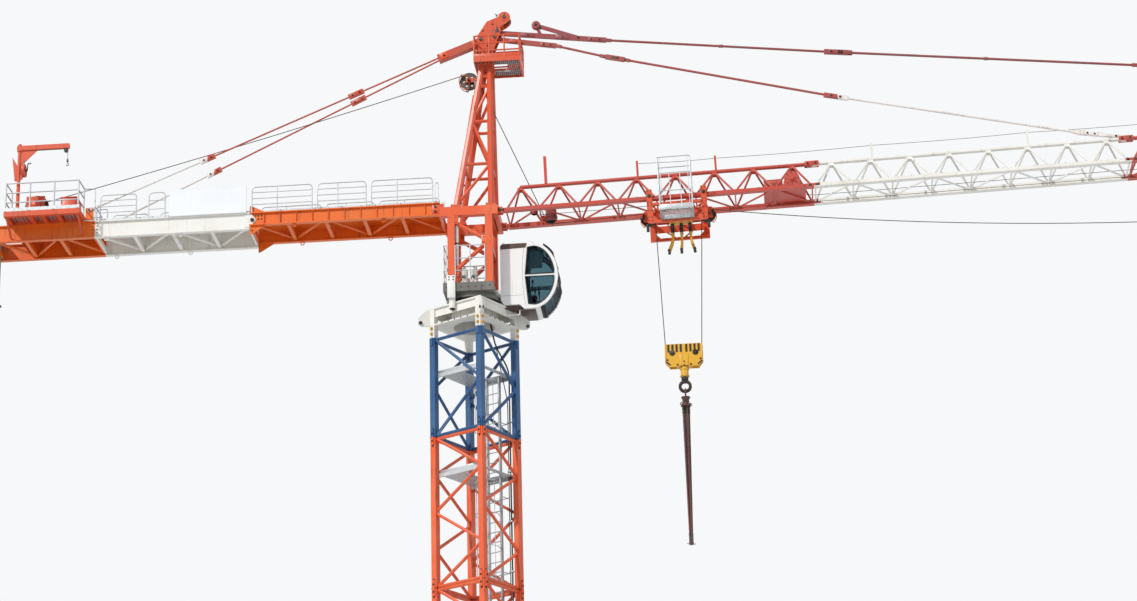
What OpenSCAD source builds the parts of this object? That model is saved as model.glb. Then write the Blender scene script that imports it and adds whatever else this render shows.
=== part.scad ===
// Tower crane with a saddle jib, at half of its real size, in millimetres.
// X runs along the jib, Z up, and the origin is under the tower on the ground.

/* [Tower] */
// Height of the base cross and its column stubs
base_h = 640; // [400:10:1000]
// Number of lower tower sections
section_count = 6; // [2:1:7]
// Height of one lower section
section_h = 2100; // [1600:20:2600]
// Height of the top tower section
top_section_h = 1425; // [1000:25:2000]
// Width of the tower over its columns
tower_w = 877; // [760:1:1000]
// Side of a square tower column
column_w = 85; // [70:1:110]
// Thickness of a tower bracing bar
brace_d = 46; // [30:1:60]
// Turn of the tower about Z against the jib
tower_turn = -31; // [-45:1:45]
// Spacing of the ladder rungs
rung_pitch = 140; // [110:5:180]

/* [Upper works] */
// Half spacing of the side frames, to their centres
frame_y = 350; // [300:5:380]
// X of the rear posts of the slewing column
rear_post_x = -260; // [-300:5:-220]
// X of the front posts of the slewing column
front_post_x = 260; // [220:5:290]
// Side of a slewing column post
post_w = 100; // [80:5:120]
// Height from the deck to the top of the slewing column
column_h = 1130; // [950:5:1400]
// Height of the tower head above the slewing column
head_h = 2240; // [1800:10:2800]

/* [Jib] */
// Length of one jib panel
panel = 542; // [480:2:600]
// Height between the chord centres
jib_h = 450; // [380:5:520]
// Distance between the lower chord centres
jib_w = 600; // [520:10:700]
// Upward slope of the jib in degrees
jib_slope = 1.6; // [0:0.1:3]
// Thickness of a jib diagonal
diagonal_d = 30; // [20:1:36]
// Side of a square lower chord
chord_w = 60; // [50:2:70]

/* [Counter-jib] */
// X of the pinned joint between the two counter-jib parts
cj_joint_x = -3075; // [-3400:5:-2800]
// X of the free end of the counter-jib
cj_end_x = -7700; // [-8200:10:-7300]
// X of the joint of the counter-jib's end part
cj_border_x = -5255; // [-5400:5:-5100]
// Depth of an inner counter-jib girder
girder_h = 190; // [150:5:230]
// Depth of an outer counter-jib girder
outer_girder_h = 245; // [200:5:280]
// Height of the handrails above the girders
rail_h = 390; // [350:5:550]
// Number of counterweight blocks
weight_count = 4; // [2:1:5]

/* [Trolley and hook] */
// Distance of the trolley from the jib foot
trolley_x = 2445; // [2000:5:6000]
// Half spacing of the rope falls at the trolley
fall_x = 317; // [260:1:360]
// Depth of the hook block below the lower chords
block_drop = 2060; // [1500:10:3000]
// Thickness of the hoist rope
rope_d = 12; // [8:1:16]

/* [Hidden] */

clear = 0.3;
pin_gap = 0.05;
half_w = tower_w / 2;
brace_y = -half_w + column_w / 2;
tower_h = section_count * section_h;
top_z0 = base_h + tower_h;
joint_z = top_z0 + top_section_h;

support_h = 435;
ring_h = 75;
deck_h = 190;
deck_top = joint_z + support_h + ring_h + deck_h;
column_top = deck_top + column_h;
head_foot_z = column_top;
beam_h = 130;

foot_x = 415;
foot_z = column_top - 60;
chord_half = chord_w / 2;
half_jib = jib_w / 2;

// Shared shapes

module bar(a, b, d, n = 6) {
    v = b - a;
    long = norm(v);
    translate(a)
        rotate([0, acos(v[2] / long), atan2(v[1], v[0])])
            rotate(180 / n)
                cylinder(d = d, h = long, $fn = n);
}

module block(x0, x1, y0, y1, z0, z1) {
    translate([x0, y0, z0])
        cube([x1 - x0, y1 - y0, z1 - z0]);
}

// A flat bar in the plane of the jib, between two points given as [x, z]
module flat_bar(a, b, deep, y0, y1) {
    v = b - a;
    translate([a[0], 0, a[1]])
        rotate([0, -atan2(v[1], v[0]), 0])
            block(0, norm(v), y0, y1, -deep / 2, deep / 2);
}

module both_y() {
    children();
    mirror([0, 1, 0]) children();
}

module round_y(x, z, y0, y1, d, n = 48) {
    translate([x, y0, z])
        rotate([-90, 0, 0])
            cylinder(d = d, h = y1 - y0, $fn = n);
}

sheave_w = 40;
rim_share = 0.06;

// Distance from a sheave's axis to the middle of the rope in its groove
function groove_r(d) = d / 2 - d * rim_share
    + (rope_d / 2 + clear) / sin(atan2(0.3 * sheave_w, d * rim_share));

module sheave(d, bore, width = sheave_w) {
    rim = d * rim_share;
    rotate([90, 0, 0])
        translate([0, 0, -width / 2])
            difference() {
                rotate_extrude($fn = 64)
                    polygon([
                        [bore / 2, 0], [d / 2, 0], [d / 2, width * 0.2], [d / 2 - rim, width * 0.5],
                        [d / 2, width * 0.8], [d / 2, width], [bore / 2, width],
                    ]);
                for (a = [0 : 60 : 300])
                    rotate(a)
                        translate([d * 0.29, 0, -1])
                            cylinder(d = d * 0.14, h = width + 2, $fn = 24);
            }
}

// Tower

base_beam_h = 160;
base_beam_w = 150;
base_plate = 390;
base_plate_t = 24;
base_hole_d = 30;
base_hole_pcd = 300;
column_c = half_w - column_w / 2;

module turned(k = 0) {
    rotate(tower_turn + 90 * k) children();
}

module base_cross() {
    reach = column_c * sqrt(2);
    color("orangered")
    turned() {
        difference() {
            union() {
                for (a = [45, 135])
                    rotate(a)
                        block(-reach, reach, -base_beam_w / 2, base_beam_w / 2, 0, base_beam_h);
                for (k = [0 : 3])
                    rotate(90 * k)
                        translate([column_c, column_c, 0])
                            block(-base_plate / 2, base_plate / 2, -base_plate / 2, base_plate / 2,
                                0, base_plate_t);
            }
            for (k = [0 : 3])
                rotate(90 * k)
                    translate([column_c, column_c, -1])
                        for (q = [0 : 3])
                            rotate(90 * q)
                                translate([base_hole_pcd / 2, 0, 0])
                                    cylinder(d = base_hole_d, h = base_plate_t + 2, $fn = 32);
        }
    }
}

module base_stubs() {
    gusset = 120;
    color("orangered")
    turned()
        for (k = [0 : 3])
            rotate(90 * k)
                translate([column_c, column_c, base_beam_h]) {
                    block(-column_w / 2, column_w / 2, -column_w / 2, column_w / 2,
                        0, base_h - base_beam_h);
                    rotate(225)
                        translate([0, 6, 0])
                            rotate([90, 0, 0])
                                linear_extrude(12)
                                    polygon([
                                        [0, 0], [gusset + 60, 0], [gusset + 60, 20],
                                        [column_w * 0.7 + 10, gusset * 1.6], [0, gusset * 1.6],
                                    ]);
                }
}

sleeve_h = 110;
sleeve_t = 16;

// One column with its bolt sleeves and the bracing that ends on the next column.
module side_panel(z0, height, diagonals, first) {
    step = height / diagonals;
    left = -half_w + column_w / 2;
    right = half_w - column_w / 2;
    translate([0, 0, z0]) {
        block(-half_w, -half_w + column_w, -half_w, -half_w + column_w, 0, height);
        for (z = [0, height - sleeve_h]) {
            block(-half_w - sleeve_t, -half_w, -half_w + 22, -half_w + column_w - 22, z, z + sleeve_h);
            block(-half_w + 22, -half_w + column_w - 22, -half_w - sleeve_t, -half_w, z, z + sleeve_h);
        }
        intersection() {
            union() {
                for (i = [0 : diagonals - 1])
                    bar([i % 2 == first ? left : right, brace_y, height - i * step],
                        [i % 2 == first ? right : left, brace_y, height - (i + 1) * step],
                        brace_d, 6);
                for (z = [brace_d / 2, height - brace_d / 2])
                    bar([left, brace_y, z], [right, brace_y, z], brace_d, 6);
            }
            block(-half_w + column_w / 2, half_w - column_w, -half_w, 0, 0, height);
        }
    }
}

module tower_side(k) {
    color("orangered")
    turned(k)
        for (i = [0 : section_count - 1])
            side_panel(base_h + i * section_h, section_h, 4, 0);
}

module top_side(k) {
    color("dodgerblue")
    turned(k)
        side_panel(top_z0, top_section_h, 2, 0);
}

ladder_w = 210;
ladder_x = 120;
ladder_y = 250;
rail_w = 22;
rung_d = 14;

module ladder(height, wide, pitch) {
    for (s = [-1, 1])
        translate([s * wide / 2, 0, 0])
            block(-rail_w / 2, rail_w / 2, -rail_w, rail_w, 0, height);
    for (z = [pitch / 2 : pitch : height - rung_d])
        bar([-wide / 2, 0, z], [wide / 2, 0, z], rung_d, 6);
}

platform_t = 14;
platform_drop = 520;
beam_t = 15;
platform_z = [for (i = [0 : section_count]) base_h + (i < section_count
    ? (i + 1) * section_h : tower_h + top_section_h) - platform_drop];

module tower_ladder() {
    color("gray")
    turned()
        for (i = [0 : section_count]) {
            z0 = i == 0 ? base_beam_h : platform_z[i - 1] + platform_t;
            translate([ladder_x, ladder_y, z0])
                ladder(platform_z[i] - z0 - clear, ladder_w, rung_pitch);
        }
}

module tower_platforms() {
    span = half_w - column_w;
    color("silver")
    turned()
        for (z = platform_z) {
            for (s = [-1, 1])
                translate([0, s * (span + beam_t / 2), z - 20])
                    cube([2 * span, beam_t, 40], center = true);
            difference() {
                block(-span, span, -span - beam_t, span + beam_t, z, z + platform_t);
                block(ladder_x - 190, ladder_x + 170, -230, ladder_y - rail_w - 3, z - 1, z + platform_t + 1);
            }
        }
}

// Ring support: legs, gusset ears and the round plate under the slewing ring

ring_od = 730;
ring_id = 570;
support_tube = 620;
ear_h = 175;

module ring_support() {
    plate_t = 20;
    ear = 165;
    ear_t = 20;
    top = support_h - plate_t;
    color("white")
    turned()
    translate([0, 0, joint_z]) {
        for (k = [0 : 3])
            rotate(90 * k) {
                translate([column_c, column_c, 0])
                    block(-column_w / 2, column_w / 2, -column_w / 2, column_w / 2, 0, top);
                rotate(45)
                    rotate([90, 0, 0])
                        translate([column_c * sqrt(2) + column_w * 0.6, 0, -ear_t / 2])
                            difference() {
                                linear_extrude(ear_t)
                                    polygon([
                                        [-60, ear_h], [ear * 0.75, ear_h], [ear, ear_h + 40],
                                        [ear, ear_h + 115], [40, top], [-60, top],
                                    ]);
                                translate([ear * 0.8, ear_h + 45, -1])
                                    cylinder(d = 36, h = ear_t + 2, $fn = 32);
                            }
                block(-half_w + column_w - 5, half_w - column_w + 5, half_w - 40, half_w - 25, top - 110, top);
            }
        difference() {
            union() {
                for (z = [ear_h, top])
                    translate([-half_w, -half_w, z])
                        cube([tower_w, tower_w, plate_t]);
                translate([0, 0, ear_h])
                    cylinder(d = support_tube, h = support_h - ear_h, $fn = 64);
            }
            translate([0, 0, -1])
                cylinder(d = ring_id, h = support_h + 2, $fn = 64);
        }
    }
}

module slewing_ring() {
    color("dimgray")
    translate([0, 0, joint_z + support_h + clear])
        difference() {
            union() {
                cylinder(d = ring_od, h = ring_h * 0.45, $fn = 96);
                cylinder(d = ring_od - 40, h = ring_h - clear, $fn = 96);
            }
            translate([0, 0, -1])
                cylinder(d = ring_id, h = ring_h + 2, $fn = 96);
        }
}

deck_x0 = -375;
deck_x1 = 315;
deck_y = 420;
deck_skirt = 65;

module slewing_deck() {
    z0 = joint_z + support_h + ring_h;
    color("gray")
    difference() {
        union() {
            translate([0, 0, z0])
                cylinder(d = ring_od + 20, h = deck_skirt, $fn = 96);
            block(deck_x0, deck_x1, -deck_y, deck_y, z0 + deck_skirt, deck_top);
        }
        translate([0, 0, z0 - 1])
            cylinder(d = ring_id, h = deck_skirt + 1, $fn = 96);
        block(-130, 130, -200, 200, z0 + deck_skirt - 1, deck_top + 1);
    }
}

module slewing_drives() {
    color("white")
    for (x = [-90, 45])
        translate([x, -300, deck_top]) {
            cylinder(d = 115, h = 50, $fn = 48);
            cylinder(d = 90, h = 200, $fn = 48);
            translate([0, 0, 200])
                sphere(d = 90, $fn = 32);
        }
}

rail_post = 16;
rail_bar = 12;

module handrail(x0, x1, y, z, high, posts, bars = 3) {
    for (i = [0 : posts - 1])
        let (x = x0 + (x1 - x0) * i / (posts - 1))
            block(x - rail_post / 2, x + rail_post / 2, y - rail_post / 2, y + rail_post / 2, z, z + high);
    for (i = [1 : bars])
        block(x0, x1, y - rail_bar / 2, y + rail_bar / 2,
            z + high * i / bars - rail_bar - 2, z + high * i / bars - 2);
}

module deck_railing() {
    color("silver") {
        for (s = [-1, 1])
            handrail(deck_x0 + 10, rear_post_x - post_w / 2 - 15, s * (deck_y - 10), deck_top, 560, 2);
        rotate(90)
            handrail(-deck_y + 10, deck_y - 10, -deck_x0 - 10, deck_top, 560, 4);
    }
}

// Slewing column

beam_x0 = -415;
beam_x1 = 390;
foot_lug = 40;
foot_lug_t = 16;
foot_pin_d = 40;

module foot_lugs(y0) {
    difference() {
        block(beam_x1 - 1, foot_x + foot_lug, y0, y0 + foot_lug_t, foot_z - 45, foot_z + 45);
        round_y(foot_x, foot_z, y0 - 1, y0 + foot_lug_t + 1, foot_pin_d + 2 * pin_gap);
    }
}

module column_side() {
    z0 = deck_top;
    y0 = frame_y - post_w / 2;
    y1 = frame_y + post_w / 2;
    for (x = [rear_post_x, front_post_x])
        block(x - post_w / 2, x + post_w / 2, y0, y1, z0, column_top - beam_h);
    block(beam_x0, beam_x1, y0, y1, column_top - beam_h, column_top);
    foot_lugs(half_jib + chord_half + clear);
    bar([rear_post_x, frame_y, z0 + 150], [front_post_x, frame_y, z0 + 620], 60, 8);
    bar([front_post_x, frame_y, z0 + 620], [rear_post_x, frame_y, column_top - beam_h - 60], 60, 8);
}

module column_side_far() {
    color("orangered") column_side();
}

module column_side_near() {
    color("orangered") mirror([0, 1, 0]) column_side();
}

module column_cross_frames() {
    y = frame_y - post_w / 2;
    color("orangered") {
        for (x = [rear_post_x, front_post_x]) {
            block(x - 50, x + 50, -y, y, column_top - beam_h, column_top - 20);
            block(x - 30, x + 30, -y, y, deck_top + 560, deck_top + 640);
        }
        block(beam_x1 - 60, beam_x1, -y, y, column_top - beam_h, column_top);
        both_y() foot_lugs(half_jib - chord_half - clear - foot_lug_t);
    }
}

// Tower head

head_rear_x0 = -190;
head_rear_x1 = 180;
head_front_x0 = 295;
head_front_x1 = 285;
head_y0 = 340;
head_y1 = 130;
leg_d = 90;
head_bar = 46;
head_levels = [0.3, 0.6, 0.85, 0.92];
frame_top = head_foot_z + head_h;

function head_rear(f) = [
    head_rear_x0 + (head_rear_x1 - head_rear_x0) * f,
    head_y0 + (head_y1 - head_y0) * f,
    head_foot_z + head_h * f,
];
function head_front(f) = [
    head_front_x0 + (head_front_x1 - head_front_x0) * f,
    head_y0 + (head_y1 - head_y0) * f,
    head_foot_z + head_h * f,
];

module head_bars() {
    bar(head_rear(-0.05), head_rear(1.05), leg_d, 8);
    bar(head_front(-0.05), head_front(1.05), leg_d, 8);
    for (f = head_levels)
        bar(head_rear(f), head_front(f), head_bar, 6);
    bar(head_rear(0.02), head_front(0.3), head_bar, 6);
    bar(head_front(0.3), head_rear(0.6), head_bar, 6);
    bar(head_rear(0.6), head_front(0.85), head_bar, 6);
}

module head_side() {
    intersection() {
        head_bars();
        block(-1000, 1000, 0, 1000, head_foot_z, frame_top);
    }
    for (x = [head_rear_x0, head_front_x0])
        block(x - 70, x + 70, head_y0 - 70, head_y0 + 60, head_foot_z, head_foot_z + 30);
}

module head_side_far() {
    color("orangered") head_side();
}

module head_side_near() {
    color("orangered") mirror([0, 1, 0]) head_side();
}

function flip_y(p) = [p[0], -p[1], p[2]];

head_plate_t = 24;
head_plate_y = 75;
head_pin_d = 40;
head_pin_y = head_plate_y + head_plate_t / 2 + 8;
head_sheave_x = -20;
head_sheave_d = 260;
eye = [500, frame_top + 760];
arm_start = [165, frame_top + 432];

module head_plate() {
    difference() {
        union() {
            polygon([
                [125, frame_top + 30], [110, frame_top + 145], [115, frame_top + 495],
                [250, frame_top + 705], [405, frame_top + 765], [500, frame_top + 845],
                [560, frame_top + 700], [520, frame_top + 665], [440, frame_top + 620],
                [450, frame_top + 540], [410, frame_top + 450], [290, frame_top + 130],
                [285, frame_top + 30],
            ]);
            translate(eye)
                circle(r = 85, $fn = 48);
        }
        for (p = [eye, arm_start])
            translate(p)
                circle(d = head_pin_d + 2 * pin_gap, $fn = 48);
    }
}

module head_cross_bars() {
    cheek_z = frame_top - 180;
    color("orangered") {
        difference() {
            for (f = head_levels) {
                bar(head_rear(f), flip_y(head_rear(f)), head_bar, 12);
                bar(head_front(f), flip_y(head_front(f)), head_bar, 12);
            }
            both_y() head_bars();
        }
        block(120, 345, -190, 190, frame_top, frame_top + 30);
        for (s = [-1, 1]) {
            translate([0, s * head_plate_y + head_plate_t / 2, 0])
                rotate([90, 0, 0])
                    linear_extrude(head_plate_t)
                        head_plate();
            difference() {
                block(head_sheave_x - 45, head_rear(0.92)[0], s * 45 - 6, s * 45 + 6,
                    cheek_z - 30, cheek_z + 30);
                round_y(head_sheave_x, cheek_z, s * 45 - 7, s * 45 + 7, 40.6);
            }
        }
    }
}

module head_ladder() {
    lean = atan2(head_rear_x1 - head_rear_x0, head_h);
    stand_off = (head_bar / 2 + rail_w + clear) / cos(lean);
    color("silver")
    translate([head_rear_x0 - stand_off, 0, head_foot_z])
        rotate([0, lean, 0])
            rotate(90)
                ladder(head_h * 0.8 / cos(lean), ladder_w, rung_pitch);
}

platform_x0 = 75;
platform_x1 = 735;
platform_y = 300;
platform_edge = 20;
platform_rail_h = 345;
platform_floor = frame_top + 30;

module head_platform() {
    color("orangered") {
        difference() {
            union() {
                block(platform_x0, platform_x1, -platform_y, platform_y, platform_floor, platform_floor + 20);
                block(platform_x0, platform_x1, -platform_y, platform_y, platform_floor - 45, platform_floor);
            }
            block(platform_x0 + platform_edge, platform_x1 - platform_edge,
                -platform_y + platform_edge, platform_y - platform_edge,
                platform_floor - 46, platform_floor);
            block(100, 540, -110, 110, platform_floor - 1, platform_floor + 21);
        }
        for (s = [-1, 1]) {
            handrail(platform_x0 + 10, platform_x1 - 10, s * (platform_y - 10),
                platform_floor + 20, platform_rail_h, 4);
            translate([0, s * (platform_y + 60) / 2, 0])
                rotate(90)
                    handrail(70 - platform_y / 2, platform_y / 2 - 40, -platform_x1 + 10,
                        platform_floor + 20, platform_rail_h, 2);
        }
    }
}

module head_sheaves() {
    color("dimgray") {
        translate([eye[0], 0, eye[1]]) {
            sheave(150, head_pin_d);
            round_y(0, 0, -head_pin_y, head_pin_y, head_pin_d);
        }
        translate([head_sheave_x, 0, frame_top - 180]) {
            sheave(head_sheave_d, 40);
            round_y(0, 0, -60, 60, 40);
        }
        on_jib()
            translate([foot_sheave_x, foot_sheave_y, run_z + groove_r(foot_sheave_d)]) {
                sheave(foot_sheave_d, 30);
                round_y(0, 0, -45, 45, 30);
            }
    }
}

// Cab

cab_x0 = 385;
cab_x1 = 1180;
cab_y0 = -125;
cab_y1 = 400;
cab_z0 = joint_z + support_h - 50;
cab_z1 = cab_z0 + 960;
cab_t = 20;
nose_x = cab_x1 - 355;
nose_z = (cab_z0 + cab_z1) / 2;

module cab_outline(inset) {
    x0 = cab_x0 + inset;
    z0 = cab_z0 + inset;
    z1 = cab_z1 - inset;
    step_z = cab_z0 + 62 + inset;
    polygon(concat(
        [for (a = [-90 : 9 : 90])
            [nose_x + (cab_x1 - nose_x - inset) * cos(a), nose_z + (cab_z1 - nose_z - inset) * sin(a)]],
        [[x0 + 30, z1], [x0, z1 - 30], [x0, step_z + 75], [x0 + 40, step_z],
            [cab_x0 + 260, step_z], [cab_x0 + 320, z0]]
    ));
}

module cab_side(y0, y1, inset) {
    translate([0, y1, 0])
        rotate([90, 0, 0])
            linear_extrude(y1 - y0)
                cab_outline(inset);
}

// The outline of the glazed nose, from one angle to another
module nose_band(rim, inside, a0, a1) {
    polygon(concat(
        [for (i = [0 : 10])
            let (a = a0 + (a1 - a0) * i / 10)
                [nose_x + (cab_x1 - nose_x - rim) * cos(a), nose_z + (cab_z1 - nose_z - rim) * sin(a)]],
        inside
    ));
}

module cab_windows() {
    left = cab_x0 + 360;
    bar_z = 18;
    for (y = [cab_y0 + cab_t + 1, cab_y1 + 1])
        translate([0, y, 0])
            rotate([90, 0, 0])
                linear_extrude(cab_t + 2) {
                    nose_band(52, [[left + 25, cab_z1 - 62], [left - 15, nose_z + bar_z]], 3, 84);
                    nose_band(52, [[left - 15, nose_z - bar_z], [left + 25, cab_z0 + 62]], -84, -3);
                }
    translate([0, cab_y1 - 45, 0])
        rotate([90, 0, 0])
            linear_extrude(cab_y1 - cab_y0 - 90)
                for (a = [[3, 68], [-72, -3]])
                    difference() {
                        nose_band(-10, [[nose_x, nose_z]], a[0], a[1]);
                        nose_band(40, [[nose_x - 10, nose_z]], a[0] - 3, a[1] + 3);
                    }
}

module cab_shell() {
    color("white")
    difference() {
        cab_side(cab_y0, cab_y1, 0);
        cab_side(cab_y0 + cab_t, cab_y1 - cab_t, cab_t);
        cab_windows();
    }
}

glass_t = 6;

module cab_glass() {
    color("lightblue", 0.5)
    intersection() {
        cab_windows();
        difference() {
            cab_side(cab_y0 + cab_t / 2, cab_y1 - cab_t / 2, 5);
            cab_side(cab_y0 + cab_t / 2 + glass_t, cab_y1 - cab_t / 2 - glass_t, 5 + glass_t);
        }
    }
}

module cab_seat() {
    x = cab_x0 + 330;
    y = (cab_y0 + cab_y1) / 2;
    z = cab_z0 + cab_t;
    color("firebrick") {
        translate([x + 25, y, z])
            cylinder(d = 60, h = 151, $fn = 32);
        block(x - 130, x + 150, y - 130, y + 130, z + 150, z + 220);
        block(x - 130, x - 70, y - 130, y + 130, z + 220, z + 560);
        for (s = [-1, 1])
            translate([0, s * 175, 0])
                block(x, x + 70, y - 30, y + 30, z, z + 330);
    }
}

module cab_bracket() {
    color("white")
    for (y = [cab_y0 + 60, cab_y1 - 140])
        block(deck_x1, cab_x0, y, y + 80, deck_top - 115, deck_top - 10);
}

// Jib

top_chord_d = 56;
ledge_w = 30;
ledge_t = 10;

module on_jib() {
    translate([foot_x, 0, foot_z])
        rotate([0, -jib_slope, 0])
            children();
}

function node_x(i) = i * panel;
function apex_x(i) = (i + 0.5) * panel;

end_setback = 22;

module jib_section(first, count) {
    last = first + count;
    x0 = node_x(first);
    x1 = node_x(last);
    top0 = first == 0 ? apex_x(first) : x0;
    setback = first == 0 ? foot_lug + 45 : end_setback;
    bar([top0, 0, jib_h], [x1, 0, jib_h], top_chord_d, 8);
    if (first > 0)
        bar([x0, 0, jib_h], [x0 + 70, 0, jib_h], top_joint_d, 8);
    if (x1 < jib_end)
        bar([x1 - 70, 0, jib_h], [x1, 0, jib_h], top_joint_d, 8);
    both_y() {
        block(x0, x1, half_jib - chord_half, half_jib + chord_half, -chord_half, chord_half);
        block(max(x0, foot_lug + 20), x1, half_jib + chord_half - 1, half_jib + chord_half + ledge_w,
            -chord_half, -chord_half + ledge_t);
    }
    for (i = [first : last - 1]) {
        a = max(node_x(i), x0 + setback);
        b = min(node_x(i + 1), x1 - end_setback);
        s = i % 2 == 0 ? 1 : -1;
        both_y() {
            bar([a, half_jib, 0], [apex_x(i), 0, jib_h], diagonal_d, 6);
            bar([apex_x(i), 0, jib_h], [b, half_jib, 0], diagonal_d, 6);
        }
        bar([a, s * half_jib, 0], [b, -s * half_jib, 0], diagonal_d * 0.9, 4);
        bar([a, -half_jib, 0], [a, half_jib, 0], diagonal_d * 0.9, 4);
    }
    bar([x1 - end_setback, -half_jib, 0], [x1 - end_setback, half_jib, 0], diagonal_d * 0.9, 4);
}

// A post that stands on the top chord
module chord_post(x, high, wide) {
    block(x - wide / 2, x + wide / 2, -wide / 2, wide / 2, jib_h + top_chord_d / 2 - 8, jib_h + high);
}

jib_end = node_x(36);
inner_tie_x = node_x(16) - 130;
outer_tie_x = apex_x(30);
lug_h = 50;
top_joint_d = 84;
winch_x = 4045;
foot_sheave_x = 685;
foot_sheave_y = 60;
foot_sheave_d = 160;

module tie_lug(x) {
    difference() {
        block(x - 60, x + 60, -12, 12, jib_h + top_chord_d / 2 - 8, jib_h + top_chord_d / 2 + lug_h);
        round_y(x, jib_h + top_chord_d / 2 + lug_h - 30, -13, 13, 26);
    }
}

module jib_section_1() {
    color("orangered")
    on_jib() {
        jib_section(0, 8);
        chord_post(635, 437, 40);
        chord_post(1920, 256, 30);
        chord_post(3010, 241, 30);
        both_y() {
            block(-20, 1, half_jib - chord_half, half_jib + chord_half, -chord_half, chord_half);
            round_y(0, 0, half_jib - chord_half - 24, half_jib + chord_half + 24, foot_pin_d);
        }
        for (s = [-1, 1])
            translate([0, foot_sheave_y + s * 38, 0])
                difference() {
                    block(panel - 10, foot_sheave_x + 60, -5, 5, run_z + 45, 8);
                    round_y(foot_sheave_x, run_z + groove_r(foot_sheave_d), -6, 6, 30.6);
                }
    }
}

module jib_section_2() {
    color("white")
    on_jib() {
        jib_section(8, 8);
        chord_post(5185, 245, 30);
        chord_post(7335, 250, 30);
        tie_lug(inner_tie_x);
    }
}

module jib_section_3() {
    color("orangered") on_jib() jib_section(16, 8);
}

module jib_section_4() {
    color("orangered")
    on_jib() {
        jib_section(24, 8);
        tie_lug(outer_tie_x);
    }
}

module jib_tip_section() {
    color("orangered")
    on_jib() {
        jib_section(32, 4);
        block(jib_end - 20, jib_end, -half_jib - chord_half, half_jib + chord_half,
            -chord_half - 60, chord_half);
        block(jib_end - 20, jib_end, -40, 40, chord_half, jib_h + 28);
        for (s = [-1, 1])
            block(jib_end, jib_end + 140, s * 40 - 8, s * 40 + 8, -chord_half - 60, 90);
        translate([jib_end + 80, 0, 10]) {
            sheave(160, 24);
            round_y(0, 0, -50, 50, 24);
        }
    }
}

// Ties

function jib_point(x, z) = [
    foot_x + x * cos(jib_slope) - z * sin(jib_slope),
    foot_z + x * sin(jib_slope) + z * cos(jib_slope),
];

// A point at a part f of the way from a to b, moved down
function part_way(a, b, f, drop) = [a[0] + (b[0] - a[0]) * f, a[1] + (b[1] - a[1]) * f - drop];

function tie_points(a, b, drops) = concat([a], [for (p = drops) part_way(a, b, p[0], p[1])], [b]);

tie_d = 34;
heavy_t = 30;
heavy_deep = 72;
pin_z = jib_h + top_chord_d / 2 + lug_h - 30;
inner_start = [360, frame_top + 456];
inner_end = jib_point(inner_tie_x, pin_z);
outer_start = [395, frame_top + 551];
outer_end = jib_point(outer_tie_x, pin_z);
inner_drops = [[0.1015, -49], [0.182, 0], [0.2134, 0], [0.556, 60], [0.9395, 30]];
outer_drops = [[0.0935, 29], [0.289, 50], [0.5402, 36]];
inner_tie = tie_points(inner_start, inner_end, inner_drops);
outer_tie = tie_points(outer_start, outer_end, outer_drops);

// A square clamp over a bend of a tie or rope
module clamp(before, at, after, long, wide) {
    translate([at[0], 0, at[1]])
        rotate([0, -atan2(after[1] - before[1], after[0] - before[0]), 0])
            block(-long / 2, long / 2, -wide / 2, wide / 2, -wide / 2, wide / 2);
}

module tie_rods(points, from) {
    for (i = [from : len(points) - 2]) {
        bar([points[i][0], 0, points[i][1]], [points[i + 1][0], 0, points[i + 1][1]], tie_d, 8);
        if (i > 0)
            clamp(points[i - 1], points[i], points[i + 1], 150, tie_d + 6);
    }
}

// A splice of two plates, centred on a point of the tie
module splice(a, b, long, deep, y0, y1) {
    translate([a[0], 0, a[1]])
        rotate([0, -atan2(b[1] - a[1], b[0] - a[0]), 0])
            block(-long / 2, long / 2, y0, y1, -deep / 2, deep / 2);
}

module jib_tie(points, heavy) {
    last = points[len(points) - 1];
    before = points[len(points) - 2];
    difference() {
        union() {
            flat_bar(points[0], points[heavy], heavy_deep, -heavy_t / 2, heavy_t / 2);
            tie_rods(points, heavy);
        }
        translate([last[0], 0, last[1]])
            block(-70, 70, -tie_d, tie_d, -90, 90);
    }
    for (s = [-1, 1])
        translate([last[0], 0, last[1]])
            rotate([0, atan2(before[1] - last[1], last[0] - before[0]), 0])
                block(-190, 25, s * 18 - 5, s * 18 + 5, -19, 19);
    round_y(last[0], last[1], -24, 24, 24);
    round_y(points[0][0], points[0][1], -head_plate_y + head_plate_t / 2 + pin_gap,
        head_plate_y - head_plate_t / 2 - pin_gap, 50);
}

module jib_tie_inner() {
    color("white") {
        jib_tie(inner_tie, 1);
        flat_bar(inner_tie[2], inner_tie[3], 60, -27, 27);
        splice(inner_tie[4], inner_end, 340, 62, -22, 22);
        flat_bar(inner_tie[5], inner_end - [160, -34], 62, -20, 20);
    }
}

module jib_tie_outer() {
    lever_a = part_way(outer_start, outer_end, 0.0333, -150);
    lever_b = part_way(outer_start, outer_end, 0.0693, 12);
    color("white") {
        jib_tie(outer_tie, 1);
        splice(outer_tie[2], outer_end, 340, 66, -22, 22);
        flat_bar(lever_a, lever_b, 56, 2 - heavy_t / 2, heavy_t / 2 - 2);
        flat_bar(lever_a, part_way(outer_start, outer_end, 0.0375, 10), 46, -10, 10);
        round_y(lever_a[0], lever_a[1], -26, 26, 124);
    }
}

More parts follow.
